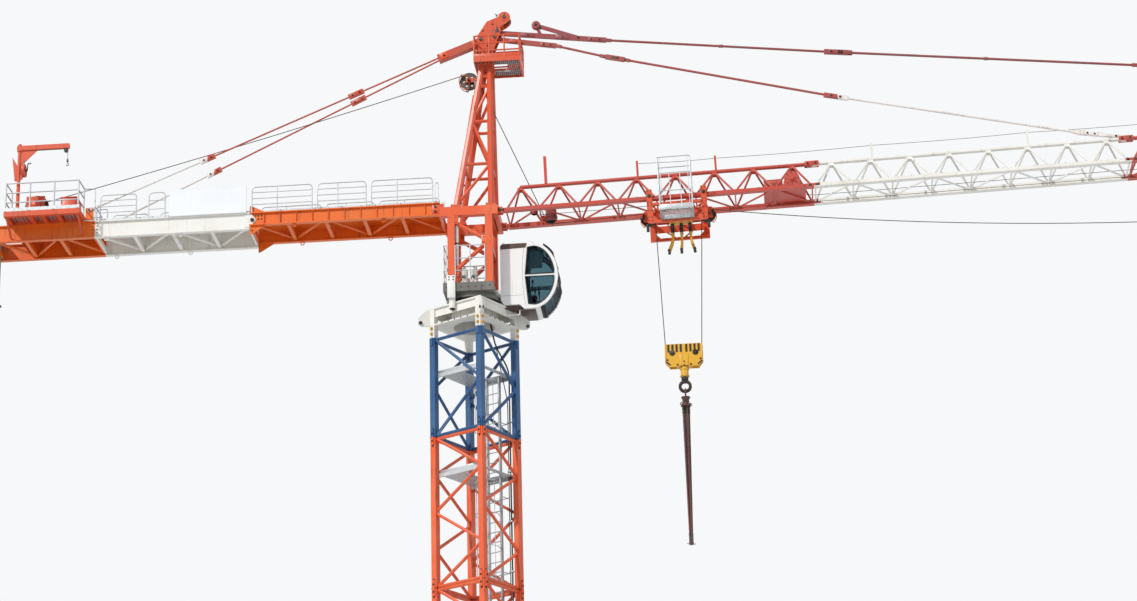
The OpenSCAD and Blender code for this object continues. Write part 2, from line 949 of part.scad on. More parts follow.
module trolley_winch() {
    x = winch_x;
    base = diagonal_d * 0.32 + clear;
    drum_up = 175;
    color("orangered")
    on_jib() {
        block(x - 400, x + 180, -240, 240, base, base + 12);
        for (y = [-222, 210])
            translate([x, y + 12, 0])
                rotate([90, 0, 0])
                    linear_extrude(12) {
                        polygon([[-137, base + 12], [-105, drum_up], [105, drum_up], [137, base + 12]]);
                        translate([0, drum_up]) circle(r = 105, $fn = 48);
                    }
        round_y(x, drum_up, -210, 210, 150, 48);
        for (y = [-196, 184])
            round_y(x, drum_up, y, y + 12, 186, 48);
        round_y(x, drum_up, -250, -210, 60);
        block(x - 390, x - 130, -100, 60, base + 12, 225);
    }
}

// Counter-jib

cj_y = 350;
cj_top = column_top + 85;
cj_start_x = beam_x0;
cj_lug_x = cj_border_x - 90;
cj_lug_z = 170;
weight_x1 = -6750;
weight_pitch = 215;
flange_t = 14;
flange_w = 70;

module girder(x0, x1, deep) {
    block(x0, x1, cj_y - flange_w / 2, cj_y + flange_w / 2, cj_top - flange_t, cj_top);
    block(x0, x1, cj_y - flange_w / 2, cj_y + flange_w / 2, cj_top - deep, cj_top - deep + flange_t);
    block(x0, x1, cj_y - 6, cj_y + 6, cj_top - deep, cj_top);
}

module girder_cross(x0, x1, count, deep) {
    step = (x1 - x0) / count;
    y = cj_y - 6;
    z = cj_top - deep;
    for (i = [0 : count])
        let (x = x0 + i * step)
            block(max(x0, x - 25), min(x1, x + 25), -y, y, z + 20, z + 90);
    intersection() {
        for (i = [0 : count - 1])
            bar([x0 + i * step, (i % 2 == 0 ? -1 : 1) * y, z + 55],
                [x0 + (i + 1) * step, (i % 2 == 0 ? 1 : -1) * y, z + 55], 40, 6);
        block(x0, x1, -y, y, z, cj_top);
    }
}

module walkway(x0, x1) {
    block(x0, x1, -cj_y + flange_w / 2, cj_y - flange_w / 2, cj_top - walk_t, cj_top);
}

walk_t = 12;
gusset_l = 230;

module counter_jib_inner() {
    x1 = cj_start_x;
    color("orange") {
        both_y() {
            girder(cj_joint_x, x1, girder_h);
            translate([0, cj_y + 6, 0])
                rotate([90, 0, 0])
                    linear_extrude(12)
                        polygon([
                            [cj_joint_x, cj_top + 105], [cj_joint_x + 25, cj_top + 105],
                            [cj_joint_x + gusset_l, cj_top], [cj_joint_x + gusset_l, cj_top - girder_h],
                            [cj_joint_x + 25, cj_top - girder_h - 125], [cj_joint_x, cj_top - girder_h - 125],
                        ]);
        }
        girder_cross(cj_joint_x, x1, 5, girder_h);
        walkway(cj_joint_x, x1);
    }
}

module counter_jib_outer() {
    color("white") {
        both_y() girder(cj_border_x, cj_joint_x, outer_girder_h);
        girder_cross(cj_border_x, cj_joint_x, 4, outer_girder_h);
        walkway(cj_border_x, cj_joint_x);
    }
}

module counter_jib_end() {
    y = cj_y - 6;
    z = cj_top - outer_girder_h;
    color("orangered") {
        both_y() {
            girder(cj_end_x, cj_border_x, outer_girder_h);
            difference() {
                block(cj_lug_x - 50, cj_lug_x + 60, cj_y - 10, cj_y + 10, cj_top, cj_top + cj_lug_z + 40);
                round_y(cj_lug_x, cj_top + cj_lug_z, cj_y - 11, cj_y + 11, 26);
            }
        }
        girder_cross(weight_x1 + 10, cj_border_x, 3, outer_girder_h);
        walkway(winch_x1, cj_border_x);
        block(cj_end_x, cj_end_x + 50, -y, y, z + 20, z + 90);
    }
}

arm_end = [-455, frame_top + 195];
arm_deep = 105;
arm_y = 56;
rod_y = 40;
rod_d = 24;
cj_lug = [cj_lug_x, cj_top + cj_lug_z];

function rod_point(f, s) = [
    arm_end[0] + (cj_lug[0] - arm_end[0]) * f,
    s * (rod_y + (cj_y - rod_y) * f),
    arm_end[1] + (cj_lug[1] - arm_end[1]) * f,
];

module counter_jib_ties() {
    fall = atan2(arm_end[1] - cj_lug[1], arm_end[0] - cj_lug[0]);
    spread = atan2(cj_y - rod_y, norm(arm_end - cj_lug));
    color("firebrick") {
        flat_bar(arm_end, arm_start, arm_deep, -arm_y, arm_y);
        round_y(arm_start[0], arm_start[1], -head_pin_y, head_pin_y, head_pin_d);
        for (s = [-1, 1]) {
            difference() {
                bar(rod_point(-0.01, s), rod_point(1, s), rod_d, 8);
                translate([cj_lug[0], s * cj_y, cj_lug[1]])
                    block(-75, 75, -rod_d, rod_d, -90, 90);
            }
            for (f = [0.238, 0.665])
                translate(rod_point(f, s))
                    rotate([0, -fall, 0])
                        rotate([0, 0, -s * spread])
                            block(-115, 115, -16, 16, -37, 37);
            translate([cj_lug[0], s * cj_y, cj_lug[1]]) {
                for (q = [-1, 1])
                    rotate([0, -fall, 0])
                        block(-25, 140, q * 16 - 5, q * 16 + 5, -16, 16);
                round_y(0, 0, -22, 22, 24);
            }
        }
    }
}

rail_out = 27;
inner_rails = [[-3050, -2190], [-2130, -1435], [-1375, -505]];
outer_rails = [[-5190, -4665], [-4505, -4260]];

module counter_jib_railings() {
    color("silver")
    both_y() {
        for (r = inner_rails)
            handrail(r[0], r[1], cj_y + rail_out, cj_top, rail_h, 2, 4);
        for (r = outer_rails)
            handrail(r[0], r[1], cj_y + rail_out, cj_top, rail_h, 2);
    }
}

board_out = rail_out + rail_post / 2 + clear;

module side_board() {
    color("whitesmoke")
        block(cj_joint_x - 1130, cj_joint_x - 45, -cj_y - board_out - 14, -cj_y - board_out,
            cj_top, cj_top + 400);
}

module counterweights() {
    low = cj_top - outer_girder_h - 900;
    color("lightgray")
    for (i = [0 : weight_count - 1])
        let (x = weight_x1 - i * weight_pitch) {
            block(x - 200, x, -cj_y + 60, cj_y - 60, low, cj_top + 30);
            block(x - 200, x, -cj_y - 60, cj_y + 60, cj_top + clear, cj_top + 90);
        }
}

deck_beam = 75;
winch_x0 = -6465;
winch_x1 = -5400;
winch_y = 710;
winch_z = cj_top + deck_beam;
drum_x = -6130;
drum_z = cj_top + 325;
brace_low = cj_top - outer_girder_h + 50;

module hoist_winch() {
    color("orangered") {
        for (y = [-winch_y, -cj_y - 30, cj_y - 30, winch_y - 60])
            block(winch_x0, winch_x1, y, y + 60, cj_top, winch_z);
        for (x = [winch_x0, winch_x0 + 335, drum_x + 170, winch_x1 - 345, winch_x1 - 60])
            block(x, x + 60, -winch_y, winch_y, cj_top, winch_z);
        block(winch_x0, winch_x1, -winch_y, winch_y, winch_z - 12, winch_z);
        for (s = [-1, 1])
            for (x = [winch_x0 + 30, winch_x1 - 30])
                bar([x, s * (winch_y - 40), cj_top + 10], [x, s * (cj_y + 22), brace_low], 34, 4);
        for (y = [-300, 180])
            difference() {
                block(drum_x - 130, drum_x + 130, y, y + 30, winch_z - 1, drum_z + 130);
                round_y(drum_x, drum_z, y - 1, y + 31, 60);
            }
        block(drum_x + 150, drum_x + 300, -300, -222, winch_z, winch_z + 180);
        block(-5765, -5555, -300, 20, winch_z, winch_z + 335);
        for (s = [-1, 1])
            handrail(winch_x0 + 20, winch_x1 - 20, s * (winch_y - 15), winch_z, 430, 4);
    }
}

module hoist_drum() {
    color("dimgray") {
        round_y(drum_x, drum_z, -200, 160, 2 * drum_r, 64);
        for (y = [-215, 160])
            round_y(drum_x, drum_z, y, y + 15, 340, 64);
        round_y(drum_x, drum_z, -295, 205, 58);
    }
}

davit_x = -6288;

module service_davit() {
    arm_z = 965;
    color("orangered")
    translate([davit_x, -winch_y + 60, winch_z]) {
        cylinder(d = 50, h = 1020, $fn = 32);
        block(-35, 700, -26, 26, arm_z - 34, arm_z + 34);
        translate([0, 8, 0])
            rotate([90, 0, 0])
                linear_extrude(16) {
                    polygon([[20, 700], [20, arm_z - 30], [260, arm_z - 30]]);
                    polygon([[-15, 690], [15, 690], [80, 630], [48, 495], [-55, 475], [-100, 840]]);
                }
        translate([52, 0, 625])
            rotate([0, 90, 0])
                cylinder(r = 93, h = 36, $fn = 48);
    }
}

// Ropes

drum_r = 120;

// A straight rope that touches two circles; a radius above zero keeps the circle on its right.
module rope_line(a, ra, b, rb, ya = 0, yb = 0) {
    v = b - a;
    turn = atan2(v[1], v[0]) - asin((ra - rb) / norm(v));
    side = [-sin(turn), cos(turn)];
    p = a + ra * side;
    q = b + rb * side;
    bar([p[0], ya, p[1]], [q[0], yb, q[1]], rope_d, 8);
}

module hoist_rope() {
    head = [head_sheave_x, frame_top - 180];
    head_r = groove_r(head_sheave_d);
    foot = jib_point(foot_sheave_x, run_z + groove_r(foot_sheave_d));
    color("dimgray") {
        rope_line([drum_x, drum_z], drum_r + rope_d / 2 + clear, head, head_r);
        rope_line(head, head_r + clear, foot, -groove_r(foot_sheave_d), 0, foot_sheave_y);
    }
}

// Trolley

plate_y0 = half_jib + chord_half + ledge_w + 6;
plate_t = 10;
wheel_d = 70;
tr_top = -chord_half + ledge_t + wheel_d / 2;
sheave_d = 200;
tr_sheave_x = fall_x + sheave_d / 2;
tr_sheave_z = -190;

module at_trolley() {
    on_jib() translate([trolley_x, 0, 0]) children();
}

module trolley_frame() {
    reach = 375;
    low = -385;
    color("orangered")
    at_trolley() {
        both_y() {
            for (s = [-1, 1]) {
                block(s * reach - 40, s * reach + 40, plate_y0, plate_y0 + plate_t, low, 110);
                round_y(s * reach, tr_top + clear, plate_y0 - 26, plate_y0 + 1, wheel_d, 32);
                block(s * reach - 25, s * reach + 25, 60, plate_y0, -130, -90);
            }
            block(-reach - 40, reach + 40, plate_y0 - 30, plate_y0 + plate_t, -130, -90);
            block(-reach - 40, reach + 40, plate_y0 - 30, plate_y0 + plate_t, low, low + 40);
            block(-340, 340, 290, 302, -285, -185);
            for (s = [-1, 1])
                block(s * 330 - 25, s * 330 + 25, 290, plate_y0 + 1, -235, -195);
            block(-470, 470, 60, 72, -250, -90);
            block(-20, 20, 71, 291, -240, -200);
        }
        for (s = [-1, 1])
            block(s * 317 - 20, s * 317 + 20, -60, 60, -130, -100);
    }
}

module trolley_sheaves() {
    color("dimgray")
    at_trolley()
        for (s = [-1, 1])
            translate([s * tr_sheave_x, 0, tr_sheave_z]) {
                sheave(sheave_d, 30);
                round_y(0, 0, -59.7, 59.7, 30);
            }
}

module trolley_basket() {
    y0 = plate_y0 + plate_t;
    floor = -360;
    color("silver")
    at_trolley()
        mirror([0, 1, 0]) {
            block(-230, 230, y0, y0 + 390, floor, floor + 15);
            translate([0, 0, floor + 15]) {
                handrail(-222, 222, y0 + 382, 0, 770, 4);
                for (x = [-222, 222])
                    rotate(90)
                        handrail(y0 + 10, y0 + 382, -x, 0, 770, 2);
            }
        }
}

// Rope runs that change length

block_top = foot_z - block_drop + 70;
block_x = jib_point(trolley_x, tr_sheave_z)[0];
run_z = tr_sheave_z + groove_r(sheave_d);

module rope_run_inner() {
    color("dimgray")
    on_jib()
        bar([foot_sheave_x, foot_sheave_y, run_z], [trolley_x - tr_sheave_x, 0, run_z], rope_d, 8);
}

run_sag = 760;
run_parts = 8;

module rope_run_outer() {
    span = jib_end - 20 - trolley_x - tr_sheave_x;
    fall = atan(4 * run_sag * (1 - 1 / run_parts) / span);
    r = groove_r(sheave_d);
    start = [trolley_x + tr_sheave_x + r * sin(fall), tr_sheave_z + r * cos(fall)];
    long = jib_end - 20 - start[0];
    points = [for (i = [0 : run_parts])
        let (f = i / run_parts)
            [start[0] + long * f, start[1] - 4 * run_sag * f * (1 - f)]];
    color("dimgray")
    on_jib()
        for (i = [0 : run_parts - 1]) {
            bar([points[i][0], 0, points[i][1]], [points[i + 1][0], 0, points[i + 1][1]], rope_d, 6);
            if (i > 0)
                clamp(points[i - 1], points[i], points[i + 1], 30, rope_d + 2);
        }
}

module rope_falls() {
    color("dimgray")
    for (s = [-1, 1])
        rope_line(jib_point(trolley_x + s * tr_sheave_x, tr_sheave_z), -s * groove_r(sheave_d),
            [block_x + s * block_sheave_x, block_top - 130], s * groove_r(block_sheave_d));
}

// Hook block

block_half = 258;
block_h = 330;
shank_h = 140;
block_sheave_x = 158;
block_sheave_d = 180;

module at_block() {
    translate([block_x, 0, block_top]) children();
}

module hook_block() {
    color("gold")
    at_block() {
        for (s = [-1, 1])
            translate([0, s * 45 + 6, 0])
                rotate([90, 0, 0])
                    linear_extrude(12)
                        polygon([
                            [-block_half, 0], [-block_half, -250], [-190, -block_h], [190, -block_h],
                            [block_half, -250], [block_half, 0],
                        ]);
        for (x = [-20, 20])
            block(x - 10, x + 10, -39, 39, -block_h, -20);
        block(-110, 110, -39, 39, -block_h, -290);
        translate([0, 0, -block_h - shank_h])
            cylinder(d = 110, h = shank_h + 1, $fn = 48);
    }
}

module block_sheaves() {
    color("dimgray")
    at_block()
        for (s = [-1, 1])
            translate([s * block_sheave_x, 0, -130]) {
                sheave(block_sheave_d, 30);
                round_y(0, 0, -38.7, 38.7, 30);
            }
}

hook_t = 36;

hook_top = -block_h - shank_h - clear;
hook_z = hook_top - 130;
hook_d = 180;
hook_hole_d = 100;

module hook_swivel() {
    color("dimgray")
    at_block() {
        translate([0, 0, hook_z + 60])
            cylinder(d = 56, h = hook_top - hook_z - 60, $fn = 32);
        translate([0, 0, hook_top - 36])
            cylinder(d = 96, h = 36, $fn = 32);
        translate([0, 0, hook_z])
            rotate([90, 0, 0])
                translate([0, 0, -hook_t / 2])
                    linear_extrude(hook_t)
                        difference() {
                            union() {
                                circle(d = hook_d, $fn = 48);
                                translate([-28, 0]) square([56, hook_d / 2]);
                            }
                            circle(d = hook_hole_d, $fn = 48);
                            translate([0, 8]) square([hook_d, 52]);
                        }
    }
}

// Slings that hang from the hook on a ring and a flared hub

sling_l = 1940;
ring_d = 20;
ring_r = 56;
ring_z = hook_z - hook_hole_d / 2 - 42;
hub_h = 130;
hub_z = ring_z - ring_r - ring_d / 2 - hub_h + 6;

module sling_set() {
    color("firebrick")
    at_block() {
        translate([0, 0, ring_z])
            rotate([0, 90, 0])
                rotate_extrude($fn = 48)
                    translate([ring_r, 0]) circle(d = ring_d, $fn = 16);
        translate([0, 0, hub_z])
            rotate_extrude($fn = 48)
                polygon([
                    [0, 0], [70, 0], [70, 20], [40, 60], [40, 80],
                    [62, hub_h - 10], [62, hub_h], [0, hub_h],
                ]);
        for (a = [20 : 90 : 290])
            rotate(a)
                bar([42, 0, hub_z + 5], [14, 0, hub_z - sling_l], 26, 6);
    }
}

base_cross();
base_stubs();
tower_side(0);  // tower_side_1
tower_side(1);  // tower_side_2
tower_side(2);  // tower_side_3
tower_side(3);  // tower_side_4
top_side(0);  // top_side_1
top_side(1);  // top_side_2
top_side(2);  // top_side_3
top_side(3);  // top_side_4
tower_ladder();
tower_platforms();
ring_support();
slewing_ring();
slewing_deck();
slewing_drives();
deck_railing();
column_side_near();
column_side_far();
column_cross_frames();
head_side_near();
head_side_far();
head_cross_bars();
head_ladder();
head_platform();
head_sheaves();
cab_shell();
cab_glass();
cab_seat();
cab_bracket();
jib_section_1();
jib_section_2();
jib_section_3();
jib_section_4();
jib_tip_section();
jib_tie_inner();
jib_tie_outer();
trolley_winch();
counter_jib_inner();
counter_jib_outer();
counter_jib_end();
counter_jib_ties();
counter_jib_railings();
side_board();
counterweights();
hoist_winch();
hoist_drum();
service_davit();
hoist_rope();
trolley_frame();
trolley_basket();
trolley_sheaves();
rope_run_inner();
rope_run_outer();
rope_falls();
hook_block();
block_sheaves();
hook_swivel();
sling_set();
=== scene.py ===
# Looks of the half-size tower crane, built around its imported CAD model
import random
from math import asin, atan2, copysign, cos, pi, radians, sin, sqrt, tau

import bmesh
import bpy
from mathutils import Matrix, Vector


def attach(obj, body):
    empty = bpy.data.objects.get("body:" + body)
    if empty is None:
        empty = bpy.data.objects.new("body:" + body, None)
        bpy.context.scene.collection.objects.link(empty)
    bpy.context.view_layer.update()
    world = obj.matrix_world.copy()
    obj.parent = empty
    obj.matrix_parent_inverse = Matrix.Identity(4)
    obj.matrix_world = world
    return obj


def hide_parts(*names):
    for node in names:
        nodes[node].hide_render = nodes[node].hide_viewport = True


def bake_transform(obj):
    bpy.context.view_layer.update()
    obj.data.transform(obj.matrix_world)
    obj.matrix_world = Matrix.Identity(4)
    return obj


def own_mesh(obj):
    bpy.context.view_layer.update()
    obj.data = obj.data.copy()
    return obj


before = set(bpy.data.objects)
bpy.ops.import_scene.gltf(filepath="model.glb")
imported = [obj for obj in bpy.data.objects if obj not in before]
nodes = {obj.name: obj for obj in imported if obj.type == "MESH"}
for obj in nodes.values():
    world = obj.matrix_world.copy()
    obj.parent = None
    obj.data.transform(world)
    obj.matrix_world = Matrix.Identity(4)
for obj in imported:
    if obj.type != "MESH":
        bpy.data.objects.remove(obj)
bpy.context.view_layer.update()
random.seed(12)
scene = bpy.context.scene
print("frame loaded:", len(nodes), "nodes")

# the places that several pieces share, in metres, as in the part's source
level = {
    "joint": 14.665,     # where the blue top section meets the ring support
    "slope": radians(1.6),
    "footX": 0.415,      # where the jib's foot pins stand
    "footZ": 16.435,
    "towerTurn": radians(-31),
    "trolleyX": 2.445,   # along the jib, at rest
}


def onJib(x, y, z):  # a point given along the sloping jib
    c, s = cos(level["slope"]), sin(level["slope"])
    return Vector((level["footX"] + x * c - z * s, y, level["footZ"] + x * s + z * c))


# shader groups and finishes
def socketOf(group, name, kind, inOut, value=None):
    socket = group.interface.new_socket(name=name, in_out=inOut, socket_type="NodeSocket" + kind)
    if value is not None:
        socket.default_value = value
    return socket


def put(tree, kind, links=None, **values):  # one node, with values by socket name or property
    node = tree.nodes.new("ShaderNode" + kind)
    for key, value in values.items():
        if hasattr(node, key):
            setattr(node, key, value)
    for key, value in (links or {}).items():
        socket = node.inputs[key]
        if hasattr(value, "is_output"):
            tree.links.new(value, socket)
        else:
            socket.default_value = value
    return node


def mathNode(tree, operation, a, b=None):
    links = {0: a}
    if b is not None:
        links[1] = b
    return put(tree, "Math", links, operation=operation).outputs[0]


def ramp(tree, value, low, high, smooth=True):  # maps a value onto 0 to 1
    node = put(tree, "MapRange", {"Value": value, "From Min": low, "From Max": high})
    if smooth:
        node.interpolation_type = "SMOOTHSTEP"
    return node.outputs["Result"]


def newGroup(name):
    group = bpy.data.node_groups.new(name, "ShaderNodeTree")
    return group, group.nodes.new("NodeGroupInput"), group.nodes.new("NodeGroupOutput")


def objectPlace(tree):
    return put(tree, "TexCoord").outputs["Object"]


def noise(tree, place, scale, detail, rough=0.5):
    values = {"Vector": place, "Scale": scale, "Detail": detail, "Roughness": rough}
    return put(tree, "TexNoise", values).outputs["Fac"]


def makeWeatherGroup():  # fading, run-down dirt and small chips, as masks
    group, into, out = newGroup("outdoorWeather")
    socketOf(group, "Scale", "Float", "INPUT", 1.0)
    socketOf(group, "Chips", "Float", "INPUT", 0.5)
    for name in ("Fade", "Dirt", "Chip", "Height"):
        socketOf(group, name, "Float", "OUTPUT")
    scaling = {0: objectPlace(group), "Scale": into.outputs["Scale"]}
    sized = put(group, "VectorMath", scaling, operation="SCALE").outputs[0]
    runs = put(group, "Mapping", {"Vector": sized, "Scale": (14.0, 14.0, 1.1)}).outputs[0]
    streak = ramp(group, noise(group, runs, 1.4, 4.0, 0.65), 0.5, 0.75)
    patch = ramp(group, noise(group, sized, 4.3, 3.0), 0.35, 0.65)
    limit = mathNode(group, "SUBTRACT", 0.78, mathNode(group, "MULTIPLY", into.outputs["Chips"], 0.12))
    chip = mathNode(group, "GREATER_THAN", noise(group, sized, 34.0, 6.0, 0.7), limit)
    ripple = mathNode(group, "MULTIPLY", noise(group, sized, 120.0, 2.0), 0.3)
    masks = {"Fade": ramp(group, noise(group, sized, 1.7, 5.0, 0.6), 0.38, 0.68), "Chip": chip,
             "Dirt": mathNode(group, "MULTIPLY", streak, patch), "Height": mathNode(group, "SUBTRACT", ripple, chip)}
    for name, mask in masks.items():
        group.links.new(mask, out.inputs[name])
    return group


def makeEdgeGroup():  # worn edges, found from rounded normals
    group, into, out = newGroup("wornEdges")
    socketOf(group, "Width", "Float", "INPUT", 0.006)
    socketOf(group, "Edge", "Float", "OUTPUT")
    rounded = put(group, "Bevel", {"Radius": into.outputs["Width"]}, samples=4).outputs["Normal"]
    flat = put(group, "NewGeometry").outputs["Normal"]
    close = put(group, "VectorMath", {0: rounded, 1: flat}, operation="DOT_PRODUCT").outputs["Value"]
    broken = ramp(group, noise(group, objectPlace(group), 22.0, 5.0), 0.45, 0.6)
    edge = ramp(group, mathNode(group, "SUBTRACT", 1.0, close), 0.02, 0.2)
    group.links.new(mathNode(group, "MULTIPLY", edge, broken), out.inputs["Edge"])
    return group


weatherGroup = makeWeatherGroup()
edgeGroup = makeEdgeGroup()


def group(tree, tool, **values):
    node = tree.nodes.new("ShaderNodeGroup")
    node.node_tree = tool
    for key, value in values.items():
        node.inputs[key].default_value = value
    return node


def newMaterial(name):
    material = bpy.data.materials.new(name)
    material.use_nodes = True
    return material, material.node_tree, material.node_tree.nodes["Principled BSDF"]


def mixColour(tree, mask, a, b):
    node = tree.nodes.new("ShaderNodeMix")
    node.data_type = "RGBA"
    wire(tree, node, {0: mask, 6: a, 7: b})
    return node.outputs[2]


def wire(tree, node, sockets):  # links or constants into a node
    for key, value in sockets.items():
        if hasattr(value, "is_output"):
            tree.links.new(value, node.inputs[key])
        else:
            node.inputs[key].default_value = value


def spread(tree, value, low, high):
    return put(tree, "MapRange", {"Value": value, "To Min": low, "To Max": high}).outputs["Result"]


def relief(tree, height, distance, strength=1.0):
    return put(tree, "Bump", {"Height": height, "Distance": distance, "Strength": strength}).outputs["Normal"]


def rgb(r, g, b):  # a colour as seen on a screen, 0 to 255, as a linear colour
    def linear(c):
        c /= 255
        return c / 12.92 if c <= 0.04045 else ((c + 0.055) / 1.055) ** 2.4
    return (linear(r), linear(g), linear(b), 1.0)


rust = rgb(98, 58, 40)


def paint(name, base, faded, dirt=(60, 48, 40), under=rust, chips=0.5, gloss=0.38, fade=0.5, dirtAmount=0.5,
          second=None, changeX=0):
    material, tree, shader = newMaterial(name)
    weather = group(tree, weatherGroup, Chips=chips)
    worn = mathNode(tree, "MULTIPLY", weather.outputs["Fade"], fade)
    colour = mixColour(tree, worn, rgb(*base), rgb(*faded))
    if second:  # another colour beyond a place along the crane
        along = put(tree, "SeparateXYZ", {0: objectPlace(tree)}).outputs["X"]
        other = mixColour(tree, worn, *[rgb(*tone) for tone in second])
        colour = mixColour(tree, mathNode(tree, "GREATER_THAN", along, changeX), colour, other)
    colour = mixColour(tree, mathNode(tree, "MULTIPLY", weather.outputs["Dirt"], dirtAmount), colour, rgb(*dirt))
    edge = mathNode(tree, "MULTIPLY", group(tree, edgeGroup).outputs["Edge"], 0.6)
    bare = mathNode(tree, "MULTIPLY", mathNode(tree, "MAXIMUM", weather.outputs["Chip"], edge), chips)
    wire(tree, shader, {"Base Color": mixColour(tree, bare, colour, under),
                        "Roughness": spread(tree, weather.outputs["Dirt"], gloss, 0.75),
                        "Normal": relief(tree, weather.outputs["Height"], 0.0006, 0.5)})
    return material


def metal(name, base, dark, low=0.3, high=0.6, metallic=1.0):
    material, tree, shader = newMaterial(name)
    place = objectPlace(tree)
    mask = noise(tree, place, 9.0, 6.0, 0.65)
    wire(tree, shader, {"Base Color": mixColour(tree, ramp(tree, mask, 0.35, 0.65), base, dark), "Metallic": metallic,
                        "Roughness": spread(tree, mask, low, high),
                        "Normal": relief(tree, noise(tree, place, 160.0, 3.0), 0.0004, 0.6)})
    return material


def zincSpangle(name, base, dark):  # hot-dip galvanized steel with its crystal pattern
    material, tree, shader = newMaterial(name)
    place = objectPlace(tree)
    cells = put(tree, "TexVoronoi", {"Vector": place, "Scale": 70.0}).outputs["Color"]
    grey = put(tree, "RGBToBW", {"Color": cells}).outputs[0]
    mask = mathNode(tree, "MULTIPLY", grey, ramp(tree, noise(tree, place, 2.6, 5.0), 0.2, 0.8))
    wire(tree, shader, {"Base Color": mixColour(tree, mask, base, dark), "Metallic": 0.75,
                        "Roughness": spread(tree, grey, 0.42, 0.62)})
    return material


def wireRope(name, base, dark):
    material, tree, shader = newMaterial(name)
    values = {"Vector": objectPlace(tree), "Scale": 26.0, "Distortion": 1.0, "Detail": 1.0}
    wave = put(tree, "TexWave", values, wave_type="BANDS", bands_direction="DIAGONAL").outputs["Fac"]
    wire(tree, shader, {"Base Color": mixColour(tree, wave, dark, base), "Metallic": 0.7, "Roughness": 0.5,
                        "Normal": relief(tree, wave, 0.002)})
    return material


def concreteCast(name, base, dark):
    material, tree, shader = newMaterial(name)
    place = objectPlace(tree)
    broad = noise(tree, place, 3.0, 8.0, 0.7)
    pits = put(tree, "TexVoronoi", {"Vector": place, "Scale": 60.0}).outputs["Distance"]
    holes = mathNode(tree, "LESS_THAN", pits, 0.12)
    colour = mixColour(tree, ramp(tree, broad, 0.35, 0.7), base, dark)
    colour = mixColour(tree, mathNode(tree, "MULTIPLY", holes, 0.6), colour, rgb(70, 68, 64))
    wire(tree, shader, {"Base Color": colour, "Roughness": 0.9,
                        "Normal": relief(tree, mathNode(tree, "SUBTRACT", broad, holes), 0.003)})
    return material


def clearGlass(name, tint):
    material, tree, shader = newMaterial(name)
    wire(tree, shader, {"Base Color": tint, "Transmission Weight": 1.0, "IOR": 1.12,
                        "Roughness": spread(tree, noise(tree, objectPlace(tree), 6.0, 4.0), 0.04, 0.1)})
    return material


def plainPlastic(name, base, rough=0.5):
    material, tree, shader = newMaterial(name)
    place = objectPlace(tree)
    broad = noise(tree, place, 5.0, 4.0)
    darker = tuple(c * 0.72 for c in base[:3]) + (1.0,)
    wire(tree, shader, {"Base Color": mixColour(tree, ramp(tree, broad, 0.4, 0.75), base, darker),
                        "Roughness": spread(tree, broad, rough - 0.06, rough + 0.1),
                        "Normal": relief(tree, noise(tree, place, 220.0, 2.0), 0.0004)})
    return material


def jibByPlace(name, base, white, start, end):  # the jib's orange, but white along its second section
    material, tree, shader = newMaterial(name)
    dirt = group(tree, weatherGroup, Chips=0.6).outputs["Dirt"]
    along = put(tree, "SeparateXYZ", {0: objectPlace(tree)}).outputs["X"]
    inside = mathNode(tree, "MULTIPLY", mathNode(tree, "GREATER_THAN", along, start),
                      mathNode(tree, "LESS_THAN", along, end))
    clean = mixColour(tree, inside, base, white)
    colour = mixColour(tree, mathNode(tree, "MULTIPLY", dirt, 0.5), clean, rgb(80, 62, 54))
    wire(tree, shader, {"Base Color": colour, "Roughness": spread(tree, dirt, 0.38, 0.75)})
    return material


